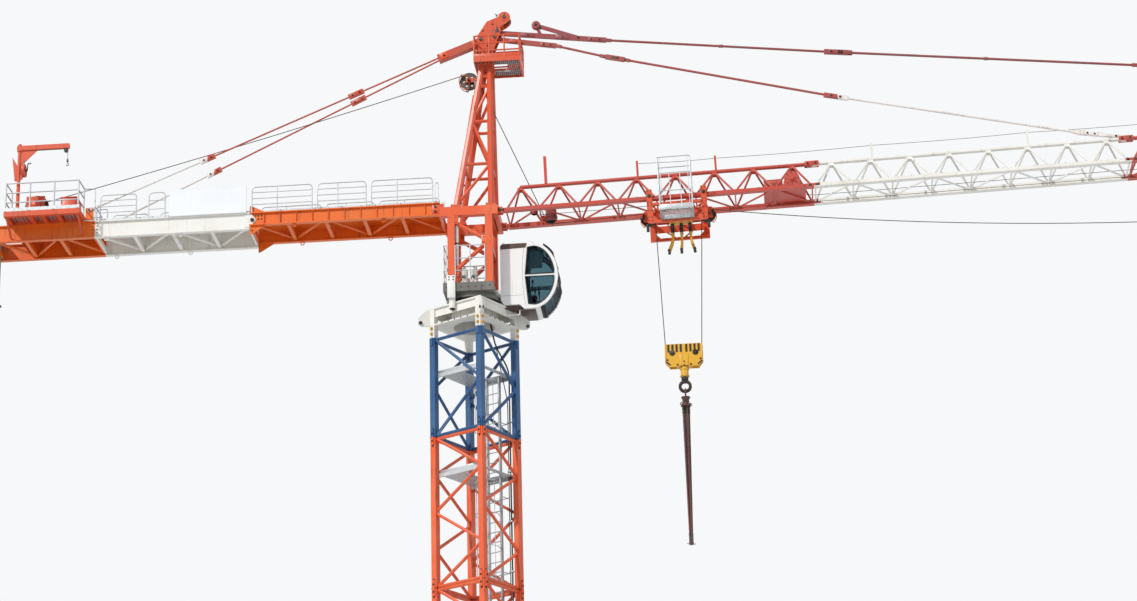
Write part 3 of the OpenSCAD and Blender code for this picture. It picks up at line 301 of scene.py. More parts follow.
paints = {  # the fresh colour, the faded one and how worn it is
    "towerOrange": ((226, 92, 48), (232, 122, 82), {"fade": 0.6, "dirtAmount": 0.45}),
    "headOrange": ((218, 80, 40), (206, 94, 62), {"fade": 0.7, "dirtAmount": 0.6, "chips": 0.7}),
    "jibOrange": ((196, 70, 52), (186, 92, 80), {"fade": 0.7, "dirtAmount": 0.6, "chips": 0.7}),
    "girderOrange": ((232, 104, 18), (222, 116, 48), {"dirtAmount": 0.6}),
    "tieOuter": ((150, 62, 62), (136, 84, 88), {"fade": 0.7, "dirtAmount": 0.6, "chips": 0.8}),
    "tieInner": ((172, 70, 60), (150, 88, 84), {
        "fade": 0.7, "chips": 0.6, "changeX": 5.155, "second": ((238, 232, 228), (220, 208, 202))}),
    "tieCounter": ((236, 230, 226), (220, 206, 200), {
        "fade": 0.6, "chips": 0.6, "changeX": -3.705, "second": ((190, 72, 48), (176, 92, 74))}),
    "jibDark": ((120, 44, 40), (104, 56, 52), {"fade": 0.6, "dirtAmount": 0.7, "chips": 0.6}),
    "slingRed": ((96, 52, 50), (84, 62, 60), {"under": rgb(60, 44, 40), "fade": 0.7, "dirtAmount": 0.7, "chips": 0.8}),
    "black": ((28, 27, 26), (44, 42, 40), {"dirtAmount": 0.4}),
    # brown also gives the painted shade of the band under the cab roof's edge
    "brown": ((70, 48, 40), (84, 62, 52), {"chips": 0.3}),
    "signalRed": ((186, 32, 26), (176, 52, 44), {"fade": 0.4, "dirtAmount": 0.3, "chips": 0.3}),
    "blue": ((34, 82, 132), (62, 104, 146), {"fade": 0.6}),
    "white": ((236, 234, 228), (220, 216, 206), {"dirt": (150, 138, 120), "fade": 0.6, "chips": 0.35}),
    "cabWhite": ((240, 240, 238), (232, 231, 226), {
        "dirt": (178, 170, 158), "under": rgb(150, 146, 140), "fade": 0.4, "dirtAmount": 0.25, "chips": 0.1,
        "gloss": 0.25}),
    "deckGrey": ((104, 104, 98), (128, 126, 116), {"fade": 0.6, "dirtAmount": 0.6}),
    "yellow": ((226, 170, 40), (214, 168, 74), {"dirtAmount": 0.6, "chips": 0.8}),
    "board": ((238, 241, 244), (226, 230, 234), {
        "dirt": (170, 172, 172), "under": rgb(180, 180, 180), "fade": 0.4, "dirtAmount": 0.2, "chips": 0.05,
        "gloss": 0.45}),
}
plastics = {
    "rubber": ((34, 34, 35), 0.6), "plasticGrey": ((120, 124, 126), 0.45), "plasticTeal": ((38, 92, 98), 0.5),
    "plasticDark": ((40, 44, 48), 0.5), "screen": ((24, 58, 84), 0.25), "seatRed": ((150, 44, 36), 0.75),
}
finish = {name: paint(name, base, faded, **wear) for name, (base, faded, wear) in paints.items()}
finish.update({name: plainPlastic(name, rgb(*base), rough) for name, (base, rough) in plastics.items()})
finish.update({
    "jibByPlace": jibByPlace("jibByPlace", rgb(196, 70, 52), rgb(236, 234, 228), 4.749, 9.084),
    "galvanized": zincSpangle("galvanized", rgb(196, 200, 202), rgb(140, 146, 150)),
    "greased": metal("greased", rgb(92, 88, 82), rgb(48, 44, 40), low=0.35, high=0.65),
    "ropeSteel": wireRope("ropeSteel", rgb(96, 92, 88), rgb(38, 36, 34)),
    "forged": metal("forged", rgb(70, 62, 58), rgb(44, 38, 36), low=0.45, high=0.75, metallic=0.6),
    "concrete": concreteCast("concrete", rgb(176, 172, 164), rgb(148, 144, 136)),
    "glass": clearGlass("glass", rgb(140, 168, 176)),
})
print("materials made:", len(finish))

nodeFinish = {
    "towerOrange": ["base_cross", "base_stubs"] + ["tower_side_%d" % k for k in (1, 2, 3, 4)]
                   + ["column_side_near", "column_side_far", "column_cross_frames"],
    "headOrange": ["head_ladder", "head_side_near", "head_side_far", "head_cross_bars", "head_platform",
                   "hoist_winch", "service_davit", "trolley_frame"],
    "jibOrange": ["jib_section_1", "jib_section_3", "jib_section_4", "jib_tip_section", "trolley_winch"],
    "girderOrange": ["counter_jib_inner", "counter_jib_end"],
    "tieOuter": ["jib_tie_outer"],
    "tieInner": ["jib_tie_inner"],
    "tieCounter": ["counter_jib_ties"],
    "blue": ["top_side_%d" % k for k in (1, 2, 3, 4)],
    "white": ["ring_support", "slewing_drives", "jib_section_2", "counter_jib_outer"],
    "cabWhite": ["cab_shell", "cab_bracket"],
    "deckGrey": ["slewing_deck"],
    "yellow": ["hook_block"],
    "board": ["side_board"],
    "galvanized": ["tower_ladder", "tower_platforms", "deck_railing", "counter_jib_railings",
                   "trolley_basket"],
    "greased": ["slewing_ring", "head_sheaves", "hoist_drum", "trolley_sheaves", "block_sheaves"],
    "ropeSteel": ["hoist_rope", "rope_run_inner", "rope_run_outer", "rope_falls"],
    "forged": ["hook_swivel"],
    "slingRed": ["sling_set"],
    "concrete": ["counterweights"],
    "glass": ["cab_glass"],
    "seatRed": ["cab_seat"],
}
for name, members in nodeFinish.items():
    for member in members:
        mesh = nodes[member].data
        mesh.materials.clear()
        mesh.materials.append(finish[name])
print("CAD nodes dressed")


def placeAt(origin, along, up=(0, 0, 1)):  # a matrix whose Z runs along a direction
    z = Vector(along).normalized()
    x = Vector(up).cross(z)
    if x.length < 0.001:
        x = Vector((1, 0, 0))
    x.normalize()
    return Matrix.Translation(origin) @ Matrix((x, z.cross(x), z)).transposed().to_4x4()


def tag(verts, index):  # gives the faces at these vertices a finish of the piece
    for face in {face for vert in verts for face in vert.link_faces}:
        face.material_index = index
    return verts


def block(shape, a, b, soft=0, index=0, place=None):
    low, high = Vector(map(min, a, b)), Vector(map(max, a, b))
    centre = Matrix.Translation((low + high) / 2) @ Matrix.Diagonal((*(high - low), 1))
    verts = bmesh.ops.create_cube(shape, size=1, matrix=centre)["verts"]
    if soft:
        edges = list({edge for vert in verts for edge in vert.link_edges})
        verts = bmesh.ops.bevel(shape, geom=edges, offset=soft, affect="EDGES", segments=2,
                                profile=0.5, material=-1)["verts"]
    if place:
        bmesh.ops.transform(shape, matrix=place, verts=verts)
    return tag(verts, index)


def rod(shape, a, b, radius, sides=12, index=0, endRadius=None, place=None):
    a, b = Vector(a), Vector(b)
    matrix = placeAt((a + b) / 2, b - a)
    if place:
        matrix = place @ matrix
    verts = bmesh.ops.create_cone(shape, cap_ends=True, segments=sides, radius1=radius,
                                  radius2=radius if endRadius is None else endRadius,
                                  depth=(b - a).length, matrix=matrix)["verts"]
    return tag(verts, index)


def rounded(points, radius, steps=4, closed=False):  # a path with its corners rounded
    points = [Vector(p) for p in points]
    path = []
    last = len(points)
    for i, point in enumerate(points):
        if not closed and i in (0, last - 1):
            path.append(point)
            continue
        before, after = points[i - 1] - point, points[(i + 1) % last] - point
        reach = min(radius, before.length * 0.48, after.length * 0.48)
        a, b = point + before.normalized() * reach, point + after.normalized() * reach
        for k in range(steps + 1):
            t = k / steps
            path.append(a * (1 - t) ** 2 + point * 2 * t * (1 - t) + b * t * t)
    return path


def tube(shape, points, radius, sides=8, index=0, closed=False):  # a ring extruded along a path
    points = [Vector(p) for p in points]
    count = len(points)

    def frameAt(i):
        if closed:
            return points[(i + 1) % count] - points[i - 1]
        return points[min(i + 1, count - 1)] - points[max(i - 1, 0)]

    direction = frameAt(0).normalized()
    matrix = placeAt(points[0], direction)
    verts = bmesh.ops.create_circle(shape, cap_ends=not closed, segments=sides, radius=radius, matrix=matrix)["verts"]
    ring = first = list({edge for vert in verts for edge in vert.link_edges})
    every = list(verts)
    for i in range(1, count):
        newDirection = frameAt(i).normalized()
        turn = direction.rotation_difference(newDirection).to_matrix().to_4x4()
        move = Matrix.Translation(points[i]) @ turn @ Matrix.Translation(-points[i - 1])
        made = bmesh.ops.extrude_edge_only(shape, edges=ring)["geom"]
        verts = [item for item in made if isinstance(item, bmesh.types.BMVert)]
        ring = [item for item in made if isinstance(item, bmesh.types.BMEdge)]
        bmesh.ops.transform(shape, matrix=move, verts=verts)
        every += verts
        direction = newDirection
    if closed:
        bmesh.ops.bridge_loops(shape, edges=ring + first)
    else:
        bmesh.ops.contextual_create(shape, geom=ring)
    return tag(every, index)


def plate(shape, outline, thickness, place, index=0, soft=0):  # a flat shape given its thickness
    verts = [shape.verts.new((x, y, 0)) for x, y in outline]
    face = shape.faces.new(verts)
    made = bmesh.ops.extrude_face_region(shape, geom=[face])["geom"]
    top = [item for item in made if isinstance(item, bmesh.types.BMVert)]
    bmesh.ops.translate(shape, vec=(0, 0, thickness), verts=top)
    verts += top
    if soft:
        rims = [edge for edge in {edge for vert in verts for edge in vert.link_edges}
                if abs(edge.verts[0].co.z - edge.verts[1].co.z) < 1e-6]
        verts = bmesh.ops.bevel(shape, geom=rims, offset=soft, affect="EDGES", segments=1,
                                profile=0.5, material=-1)["verts"] + [v for v in verts if v.is_valid]
    bmesh.ops.transform(shape, matrix=place, verts=verts)
    return tag(verts, index)


def turned(shape, profile, place, steps=32, index=0):  # a profile of radius and height, spun about Z
    if not isinstance(place, Matrix):
        place = Matrix.Translation(place)
    verts = [shape.verts.new((r, 0, z)) for r, z in profile]
    edges = [shape.edges.new(pair) for pair in zip(verts, verts[1:])]
    bmesh.ops.spin(shape, geom=verts + edges, cent=(0, 0, 0), axis=(0, 0, 1), angle=tau, steps=steps, use_merge=True)
    every = set(verts)
    front = list(verts)
    while front:
        vert = front.pop()
        for edge in vert.link_edges:
            other = edge.other_vert(vert)
            if other not in every:
                every.add(other)
                front.append(other)
    every = list(every)
    poles = [vert for vert in every if vert.co.xy.length < 1e-6]
    bmesh.ops.remove_doubles(shape, verts=poles, dist=1e-6)
    every = [vert for vert in every if vert.is_valid]
    bmesh.ops.transform(shape, matrix=place, verts=every)
    return tag(every, index)


def polar(radius, degrees, x=0, y=0):
    return x + radius * cos(radians(degrees)), y + radius * sin(radians(degrees))


def circle(radius, count, turn=0):  # points spread evenly round a circle
    return [(radius * cos(a), radius * sin(a)) for a in [tau * (k + turn) / count for k in range(count)]]


def aim(place, along):  # a direction turned by a matrix
    return place.to_3x3() @ Vector(along)


def collar(inner, outer, z, half, soft=0.001):  # the profile of a ring round an axle
    return [(inner, z - half), (outer, z - half + soft), (outer, z + half - soft), (inner, z + half), (inner, z - half)]


def arc(radius, start, end, steps):
    return [polar(radius, start + (end - start) * k / steps) for k in range(steps + 1)]


def bolt(shape, at, along, size, index=0, shank=0):  # washer, hexagon head and, if asked, a threaded end
    at, along = Vector(at), Vector(along).normalized()
    rod(shape, at, at + along * size * 0.18, size * 1.05, 12, index)
    rod(shape, at + along * size * 0.18, at + along * size * 0.85, size * 0.86, 6, index)
    if shank:
        rod(shape, at + along * size * 0.85, at + along * shank, size * 0.5, 8, index)


def newPiece(name, shape, finishes, body="upper_works", smooth=35):
    bmesh.ops.recalc_face_normals(shape, faces=shape.faces)
    limit = radians(smooth)
    for face in shape.faces:
        face.smooth = True
    for edge in shape.edges:
        edge.smooth = edge.calc_face_angle(pi) < limit
    mesh = bpy.data.meshes.new(name)
    shape.to_mesh(mesh)
    shape.free()
    for item in finishes:
        mesh.materials.append(finish[item])
    piece = bpy.data.objects.new(name, mesh)
    scene.collection.objects.link(piece)
    if body:
        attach(piece, body)
    return piece


towerKit = {
    "halfWidth": 0.4385, "columnWidth": 0.085, "sleeveHeight": 0.11, "sleeveThick": 0.016,
    "joints": [0.64 + 2.1 * k for k in range(7)],
    "decks": [0.64 + (k + 1) * 2.1 - 0.52 for k in range(6)] + [14.145],
    "boltSize": 0.0135, "hoopPitch": 0.45, "hoopRadius": 0.165,
    "ladderX": 0.12, "ladderY": 0.25, "ladderWidth": 0.21,
    "cableRadius": 0.011, "cableX": 0.325, "cableY": 0.405,
}
turnedTower = Matrix.Rotation(level["towerTurn"], 4, "Z")


def corners(k):  # the tower's turned frame, once for each side
    return turnedTower @ Matrix.Rotation(pi / 2 * k, 4, "Z")


def makeTowerBolts(kit):
    shape = bmesh.new()
    outer = -kit["halfWidth"] - kit["sleeveThick"] / 2
    middle = -kit["halfWidth"] + kit["columnWidth"] / 2
    for joint in kit["joints"]:
        for k in range(4):
            place = corners(k)
            for x, y in ((outer, middle), (middle, outer)):
                for s in (1, -1):
                    if joint < 1 and s < 0:
                        continue
                    at = place @ Vector((x, y, joint + s * kit["sleeveHeight"]))
                    bolt(shape, at, (0, 0, s), kit["boltSize"] * 0.9, shank=0.024)
            for z in (-0.03, 0.03):  # pins across the sleeves' faces
                for side, along in (((-kit["halfWidth"] - kit["sleeveThick"], middle), (-1, 0, 0)),
                                    ((middle, -kit["halfWidth"] - kit["sleeveThick"]), (0, -1, 0))):
                    if joint < 1 and z < 0:
                        continue
                    at = place @ Vector((*side, joint + z * 1.7))
                    bolt(shape, at, aim(place, along), kit["boltSize"])
    newPiece("tower_joint_bolts", shape, ["greased"], "tower")


def makeTowerSeams(kit):  # the thin shadow gap and machined end plates where two sections meet
    shape = bmesh.new()
    half, wide = kit["halfWidth"], kit["columnWidth"]
    for joint in kit["joints"][1:]:
        for k in range(4):
            verts = block(shape, (-half - 0.004, -half - 0.004, joint - 0.005),
                          (-half + wide + 0.004, -half + wide + 0.004, joint + 0.005), 0.0015)
            bmesh.ops.transform(shape, matrix=corners(k), verts=verts)
    newPiece("tower_end_plates", shape, ["greased"], "tower")


def makeLadderCage(kit):
    shape = bmesh.new()
    x, y, r = kit["ladderX"], kit["ladderY"], kit["hoopRadius"]
    half = kit["ladderWidth"] / 2
    low = 0.4
    for deck in kit["decks"]:
        first, last = low + 0.62, deck - 0.1
        count = max(2, int((last - first) / kit["hoopPitch"]) + 1)
        levels = [first + (last - first) * i / (count - 1) for i in range(count)]
        sweep = [(x + r * sin(radians(a)), y - 0.17 - r * cos(radians(a)))
                 for a in range(-90, 91, 15)]
        outline = [(x - half, y - 0.016)] + sweep + [(x + half, y - 0.016)]
        for z in levels:
            tube(shape, [(px, py, z) for px, py in outline], 0.0055, 6)
        for a in (-75, -25, 25, 75):
            px, py = x + (r - 0.006) * sin(radians(a)), y - 0.17 - (r - 0.006) * cos(radians(a))
            rod(shape, (px, py, levels[0] - 0.02), (px, py, levels[-1] + 0.02), 0.0045, 6)
        low = deck + 0.014
    for z in [0.9 + 1.05 * k for k in range(13)]:  # brackets from the ladder back to the bracing
        for s in (-1, 1):
            rod(shape, (x + s * half, y + 0.014, z), (x + s * half, 0.392, z), 0.007, 6)
        rod(shape, (x - half - 0.02, 0.392, z), (x + half + 0.02, 0.392, z), 0.008, 6)
    bmesh.ops.transform(shape, matrix=turnedTower, verts=shape.verts)
    newPiece("tower_ladder_cage", shape, ["galvanized"], "tower")


def makeTowerCable(kit):
    shape = bmesh.new()
    x, y, r = kit["cableX"], kit["cableY"] - 0.06, kit["cableRadius"]
    route = [(x, y, 0.36), (x, y, 13.9), (x, y, 14.25), (x - 0.13, y - 0.13, 14.6), (x - 0.19, y - 0.18, 15)]
    tube(shape, rounded(route, 0.12, 5), r, 10)
    x2 = x - 0.032
    tube(shape, rounded([(x2, y, 0.36), (x2, y, 13.8), (x2 - 0.1, y - 0.1, 14.55), (x2 - 0.16, y - 0.16, 15)], 0.12, 5),
         r * 0.6, 8)
    for z in [0.9 + 0.7 * k for k in range(19)]:
        block(shape, (x2 - 0.014, y - 0.016, z - 0.01), (x + 0.018, y + 0.02, z + 0.01), 0.003, 1)
    bmesh.ops.transform(shape, matrix=turnedTower, verts=shape.verts)
    newPiece("tower_power_cable", shape, ["rubber", "galvanized"], "tower")


def makePlatformTrim(kit):  # raised tear pattern, toe boards and a trap frame on each rest platform
    shape = bmesh.new()
    span = kit["halfWidth"] - kit["columnWidth"]
    for deck in kit["decks"]:
        z = deck + 0.014
        for a, b in (((-0.07, -0.23), (-0.07, 0.225)), ((0.29, -0.23), (0.29, 0.225)), ((-0.07, -0.23), (0.29, -0.23))):
            block(shape, (min(a[0], b[0]) - 0.006, min(a[1], b[1]), z),
                  (max(a[0], b[0]) + 0.006, max(a[1], b[1]) + 0.004, z + 0.022),
                  0.0015)
        for y in (-span + 0.006, span - 0.006):
            block(shape, (-span, y - 0.004, z), (span, y + 0.004, z + 0.045), 0.0015)
        for x in (-0.32, -0.26, -0.2, -0.14):  # ribs of the pressed planks
            block(shape, (x, -span + 0.02, z - 0.001), (x + 0.012, span - 0.02, z + 0.004), 0.0012)
        for y in (-0.31, -0.27):
            block(shape, (-0.05, y, z - 0.001), (0.33, y + 0.01, z + 0.004), 0.0012)
    bmesh.ops.transform(shape, matrix=turnedTower, verts=shape.verts)
    newPiece("tower_platform_trim", shape, ["galvanized"], "tower")


def makeBaseFixings(kit):
    shape = bmesh.new()
    centre = kit["halfWidth"] - kit["columnWidth"] / 2
    for k in range(4):
        place = corners(k)
        for q in range(4):
            out = Vector((1, 0, 0))
            out.rotate(Matrix.Rotation(pi / 2 * q, 3, "Z"))
            bolt(shape, place @ (Vector((centre, centre, 0.0305)) + out * 0.15), (0, 0, 1), 0.026, shank=0.062)
            for z in (0.47, 0.56):  # pins that hold the first section on its stub
                at = place @ (Vector((centre, centre, z)) + out * (kit["columnWidth"] / 2))
                bolt(shape, at, aim(place, out), 0.015)
    newPiece("base_fixings", shape, ["greased"], "tower")


makeTowerBolts(towerKit)
makeTowerSeams(towerKit)
makeLadderCage(towerKit)
makeTowerCable(towerKit)
makePlatformTrim(towerKit)
makeBaseFixings(towerKit)
print("tower details made")

slewKit = {
    "ringZ": 15.1003, "ringRadius": 0.365, "teeth": 96,
    "deckTop": 15.365, "deckX": (-0.375, 0.315), "deckY": 0.42, "railHeight": 0.56,
    "driveX": (-0.09, 0.045), "driveY": -0.3,
}


def makeRing(kit):  # toothed rim and bolt circles of the slewing ring
    shape = bmesh.new()
    low, r = kit["ringZ"], kit["ringRadius"]
    for k in range(kit["teeth"]):
        place = Matrix.Rotation(tau * k / kit["teeth"], 4, "Z")
        block(shape, (r - 0.006, -0.0055, low + 0.003), (r + 0.008, 0.0055, low + 0.03), 0, 0, place)
    newPiece("slewing_ring_teeth", shape, ["greased"], "tower")
    shape = bmesh.new()
    for x, y in circle(0.333, 36):
        bolt(shape, (x, y, 15.0788), (0, 0, -1), 0.0105, shank=0.014)
    for k in range(4):
        place = corners(k)
        for x in (-0.22, -0.11, 0, 0.11, 0.22):
            bolt(shape, place @ Vector((x, 0.4385, 14.85)), aim(place, (0, 1, 0)), 0.009)
    newPiece("ring_support_bolts", shape, ["greased"], "tower")


def makeSupportFittings():  # yellow pins where the white columns meet the blue section, and the ears' shackle pins
    shape = bmesh.new()
    half, wide = towerKit["halfWidth"], towerKit["columnWidth"]
    for k in range(4):
        place = corners(k)
        middle = -half + wide / 2
        for at, along in (((-half - 0.001, middle, 14.725), (-1, 0, 0)), ((middle, -half - 0.001, 14.725), (0, -1, 0)),
                          ((-half - 0.001, middle, 14.805), (-1, 0, 0)), ((middle, -half - 0.001, 14.805), (0, -1, 0))):
            here = place @ Vector(at)
            way = aim(place, along)
            rod(shape, here, here + way * 0.012, 0.021, 16, 0)
            rod(shape, here + way * 0.012, here + way * 0.028, 0.013, 12, 0)
        diagonal = aim(place, (-1, -1, 0)).normalized()
        across = Vector((-diagonal.y, diagonal.x, 0))
        centre = diagonal * (0.396 * sqrt(2) + 0.085 * 0.6 + 0.132) + Vector((0, 0, 14.885))
        rod(shape, centre - across * 0.03, centre + across * 0.03, 0.0165, 16, 1)
        for s in (-1, 1):
            rod(shape, centre + across * s * 0.024, centre + across * s * 0.031, 0.024, 16, 1)
    newPiece("support_pins", shape, ["yellow", "greased"], "tower")
    shape = bmesh.new()
    for k in range(4):  # stiffening ribs on the round body
        place = corners(k)
        for a in (-24, 0, 24):
            angle = radians(a - 90)
            way = Vector((cos(angle), sin(angle), 0))
            centre = way * 0.318
            matrix = place @ placeAt(centre + Vector((0, 0, 14.97)), way, (0, 0, 1))
            block(shape, (-0.006, -0.105, -0.012), (0.006, 0.105, 0.02), 0.002, 0, matrix)
    newPiece("support_ribs", shape, ["white"], "tower")


def makeDeckRail(kit):  # round tube railing round the slewing deck
    shape = bmesh.new()
    top = kit["deckTop"]
    h = kit["railHeight"]
    y = kit["deckY"] - 0.01
    x0, x1 = kit["deckX"][0] + 0.01, -0.325
    r = 0.0085
    for z in (top + h - 0.01, top + h * 0.667 - 0.01, top + h * 0.333 - 0.01):
        path = [(x1, -y, z), (x0, -y, z), (x0, y, z), (x1, y, z)]
        tube(shape, rounded(path, 0.035, 4), r, 8)
    for px, py in ((x1, -y), (x1, y), (x0, -y + 0.04), (x0, y - 0.04), (x0, -y * 0.34), (x0, y * 0.34)):
        rod(shape, (px, py, top), (px, py, top + h - 0.008), r, 10)
        rod(shape, (px, py, top), (px, py, top + 0.006), 0.02, 12)
    block(shape, (x0 - 0.003, -y + 0.03, top + 0.002), (x0 + 0.003, y - 0.03, top + 0.075), 0.001)
    for s in (-1, 1):  # frames between the column posts
        yy = s * 0.405
        for z in (top + 0.545, top + 0.36, top + 0.18):
            rod(shape, (-0.212, yy, z), (0.212, yy, z), 0.0075, 8)
        for px in (-0.205, 0, 0.205):
            rod(shape, (px, yy, top), (px, yy, top + 0.549), 0.0075, 8)
    piece = newPiece("deck_rail_tubes", shape, ["galvanized"])
    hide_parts("deck_railing")


def makeDeckFixings(kit):
    shape = bmesh.new()
    top = kit["deckTop"]
    for x in (-0.26, 0.26):  # post feet with bolts
        for y in (-0.35, 0.35):
            block(shape, (x - 0.068, y - 0.066, top), (x + 0.068, y + 0.066, top + 0.016), 0.002)
            for sx in (-1, 1):
                for sy in (-1, 1):
                    bolt(shape, (x + sx * 0.057, y + sy * 0.056, top + 0.016), (0, 0, 1), 0.0095, 1, shank=0.015)
            for sx in (1, -1):
                block(shape, (x + sx * 0.05 - 0.004, y - 0.006, top + 0.016),
                      (x + sx * 0.05 + 0.014 * sx + 0.004, y + 0.006, top + 0.085), 0.001)
    for k in range(7):
        x = kit["deckX"][0] + 0.045 + k * 0.1
        for y in (-kit["deckY"], kit["deckY"]):
            bolt(shape, (x, y, top - 0.062), (0, copysign(1, y), 0), 0.0095, 1)
    newPiece("deck_feet", shape, ["towerOrange", "greased"])
    shape = bmesh.new()  # chequer strips of the deck plate
    for x in [kit["deckX"][0] + 0.03 + 0.043 * k for k in range(16)]:
        for y in [-0.4 + 0.043 * k for k in range(19)]:
            if abs(x) < 0.14 and abs(y) < 0.21 or min(abs(x + 0.26), abs(x - 0.26)) < 0.085 and 0.27 < abs(y) < 0.43:
                continue
            if abs(x + 0.022) < 0.14 and -0.37 < y < -0.23:
                continue
            lean = 45 if (round(x * 1000) + round(y * 1000)) % 2 else -45
            turn = Matrix.Translation((x, y, top + 0.0008)) @ Matrix.Rotation(radians(lean), 4, "Z")
            block(shape, (-0.011, -0.0024, -0.001), (0.011, 0.0024, 0.0012), 0, 0, turn)
    newPiece("deck_chequer", shape, ["deckGrey"])


def makeDrives(kit):  # motor caps, brake housings and cable glands on the two slewing drives
    shape = bmesh.new()
    top = kit["deckTop"]
    y = kit["driveY"]
    for x in kit["driveX"]:
        for dx, dy in circle(0.052, 10):
            bolt(shape, (x + dx, y + dy, top + 0.05), (0, 0, 1), 0.0052, 1)
        for z in (0.075, 0.13, 0.185):
            turned(shape, collar(0.0445, 0.0505, z, 0.006), (x, y, top), 40)
        for k in range(20):  # cooling ribs
            place = Matrix.Translation((x, y, top)) @ Matrix.Rotation(tau * k / 20, 4, "Z")
            block(shape, (0.043, -0.0015, 0.136), (0.0505, 0.0015, 0.179), 0, 0, place)
        block(shape, (x - 0.018, y - 0.066, top + 0.085), (x + 0.018, y - 0.042, top + 0.125), 0.003, 2)
        turned(shape, [(0, 0.258), (0.016, 0.256), (0.02, 0.247), (0.02, 0.238), (0, 0.238)], (x, y, top), 24, 2)
    newPiece("slewing_drive_caps", shape, ["white", "greased", "plasticGrey"])
    shape = bmesh.new()
    for x in kit["driveX"]:
        tube(shape, rounded([(x, y - 0.062, top + 0.1), (x - 0.03, y - 0.085, top + 0.08),
                             (x - 0.05, y - 0.085, top + 0.02),
                             (x - 0.1, y - 0.05, top + 0.014), (-0.215, y + 0.02, top + 0.014)], 0.03, 4), 0.006, 8)
    newPiece("drive_cables", shape, ["rubber"])


def makeColumnTrim():  # white foot covers, the cable tube and gusset plates on the column
    shape = bmesh.new()
    top = level["joint"]
    x = -0.26  # cover before the deck's edge, with dark bolts
    block(shape, (x - 0.055, -0.452, top + 0.475), (x + 0.055, -0.4205, top + 0.8), 0.004)
    for dz in (0.735, 0.775):
        for dx in (-0.03, 0.03):
            bolt(shape, (x + dx, -0.452, top + dz), (0, -1, 0), 0.01, 1)
    x = -0.255
    rod(shape, (x, -0.375, top + 0.565), (x, -0.375, top + 0.34), 0.045, 28)
    rod(shape, (x, -0.375, top + 0.345), (x, -0.375, top + 0.325), 0.034, 28, 1)
    rod(shape, (-0.185, -0.335, top + 0.855), (-0.185, -0.335, top + 1.7), 0.024, 24)
    for dz in (0.95, 1.3, 1.6):
        turned(shape, collar(0.0235, 0.029, 0, 0.01), (-0.185, -0.335, top + dz), 24, 1)
    newPiece("column_cable_tube", shape, ["white", "greased"])
    shape = bmesh.new()
    for y in (-0.4015, 0.4015):  # gusset plates where diagonals meet the posts
        s = copysign(1, y)
        for x, z in ((-0.235, 15.53), (0.235, 15.99), (-0.235, 16.3)):
            place = placeAt((x, y - s * 0.0095, z), (0, -1, 0), (0, 0, 1))
            block(shape, (-0.075, -0.065, -0.004), (0.075, 0.065, 0.004), 0.002, 0, place)
            for dx in (-0.045, 0.045):
                for dz in (-0.04, 0.04):
                    bolt(shape, (x + dx, y - s * 0.0055, z + dz), (0, s, 0), 0.0075, 1)
    newPiece("column_gussets", shape, ["towerOrange", "greased"])


makeRing(slewKit)
makeSupportFittings()
makeDeckRail(slewKit)
makeDeckFixings(slewKit)
makeDrives(slewKit)
makeColumnTrim()
print("slewing details made")


cabKit = {
    "x": (0.385, 1.18), "y": (-0.125, 0.4), "z": (15.05, 16.01), "noseX": 0.825, "noseZ": 15.53,
    "rimWidth": 0.052, "windowLeft": 0.745, "glassY": (-0.08, 0.355), "gasket": 0.01, "grilleWire": 0.0034,
    "padSwell": 0.007, "padVoxel": 0.006,
}
sideways = Matrix.Rotation(pi / 2, 4, "X")  # turns a flat outline of x and height to face the near side


def nose(angle, inset=0):  # a point of the cab's round front
    a = radians(angle)
    kit = cabKit
    return (kit["noseX"] + (kit["x"][1] - kit["noseX"] - inset) * cos(a),
            kit["noseZ"] + (kit["z"][1] - kit["noseZ"] - inset) * sin(a))


def windowLoop(upper, inset):
    left, middle, (low, high) = cabKit["windowLeft"], cabKit["noseZ"], cabKit["z"]
    s, end = (1, high - inset - 0.01) if upper else (-1, low + inset + 0.01)
    curve = [nose(s * (3 + 81 * i / 14), inset) for i in range(15)]
    return curve + [(left + 0.025, end), (left - 0.015, middle + s * 0.018)]


def makeCabGaskets(kit):
    shape = bmesh.new()
    for y in (kit["y"][0] - 0.001, kit["y"][1] + 0.001):
        for upper in (True, False):
            loop = [(x, y, z) for x, z in windowLoop(upper, kit["rimWidth"])]
            tube(shape, loop, kit["gasket"], 8, 0, True)
    for y in kit["glassY"]:
        for a0, a1 in ((3, 68), (-72, -3)):
            path = [nose(a0 + (a1 - a0) * i / 16, 0.001) for i in range(17)]
            tube(shape, [(x, y, z) for x, z in path], 0.008, 8)
    for a in (3, 68, -3, -72):
        x, z = nose(a, 0.001)
        rod(shape, (x, kit["glassY"][0], z), (x, kit["glassY"][1], z), 0.008, 8)
    newPiece("cab_gaskets", shape, ["rubber"])


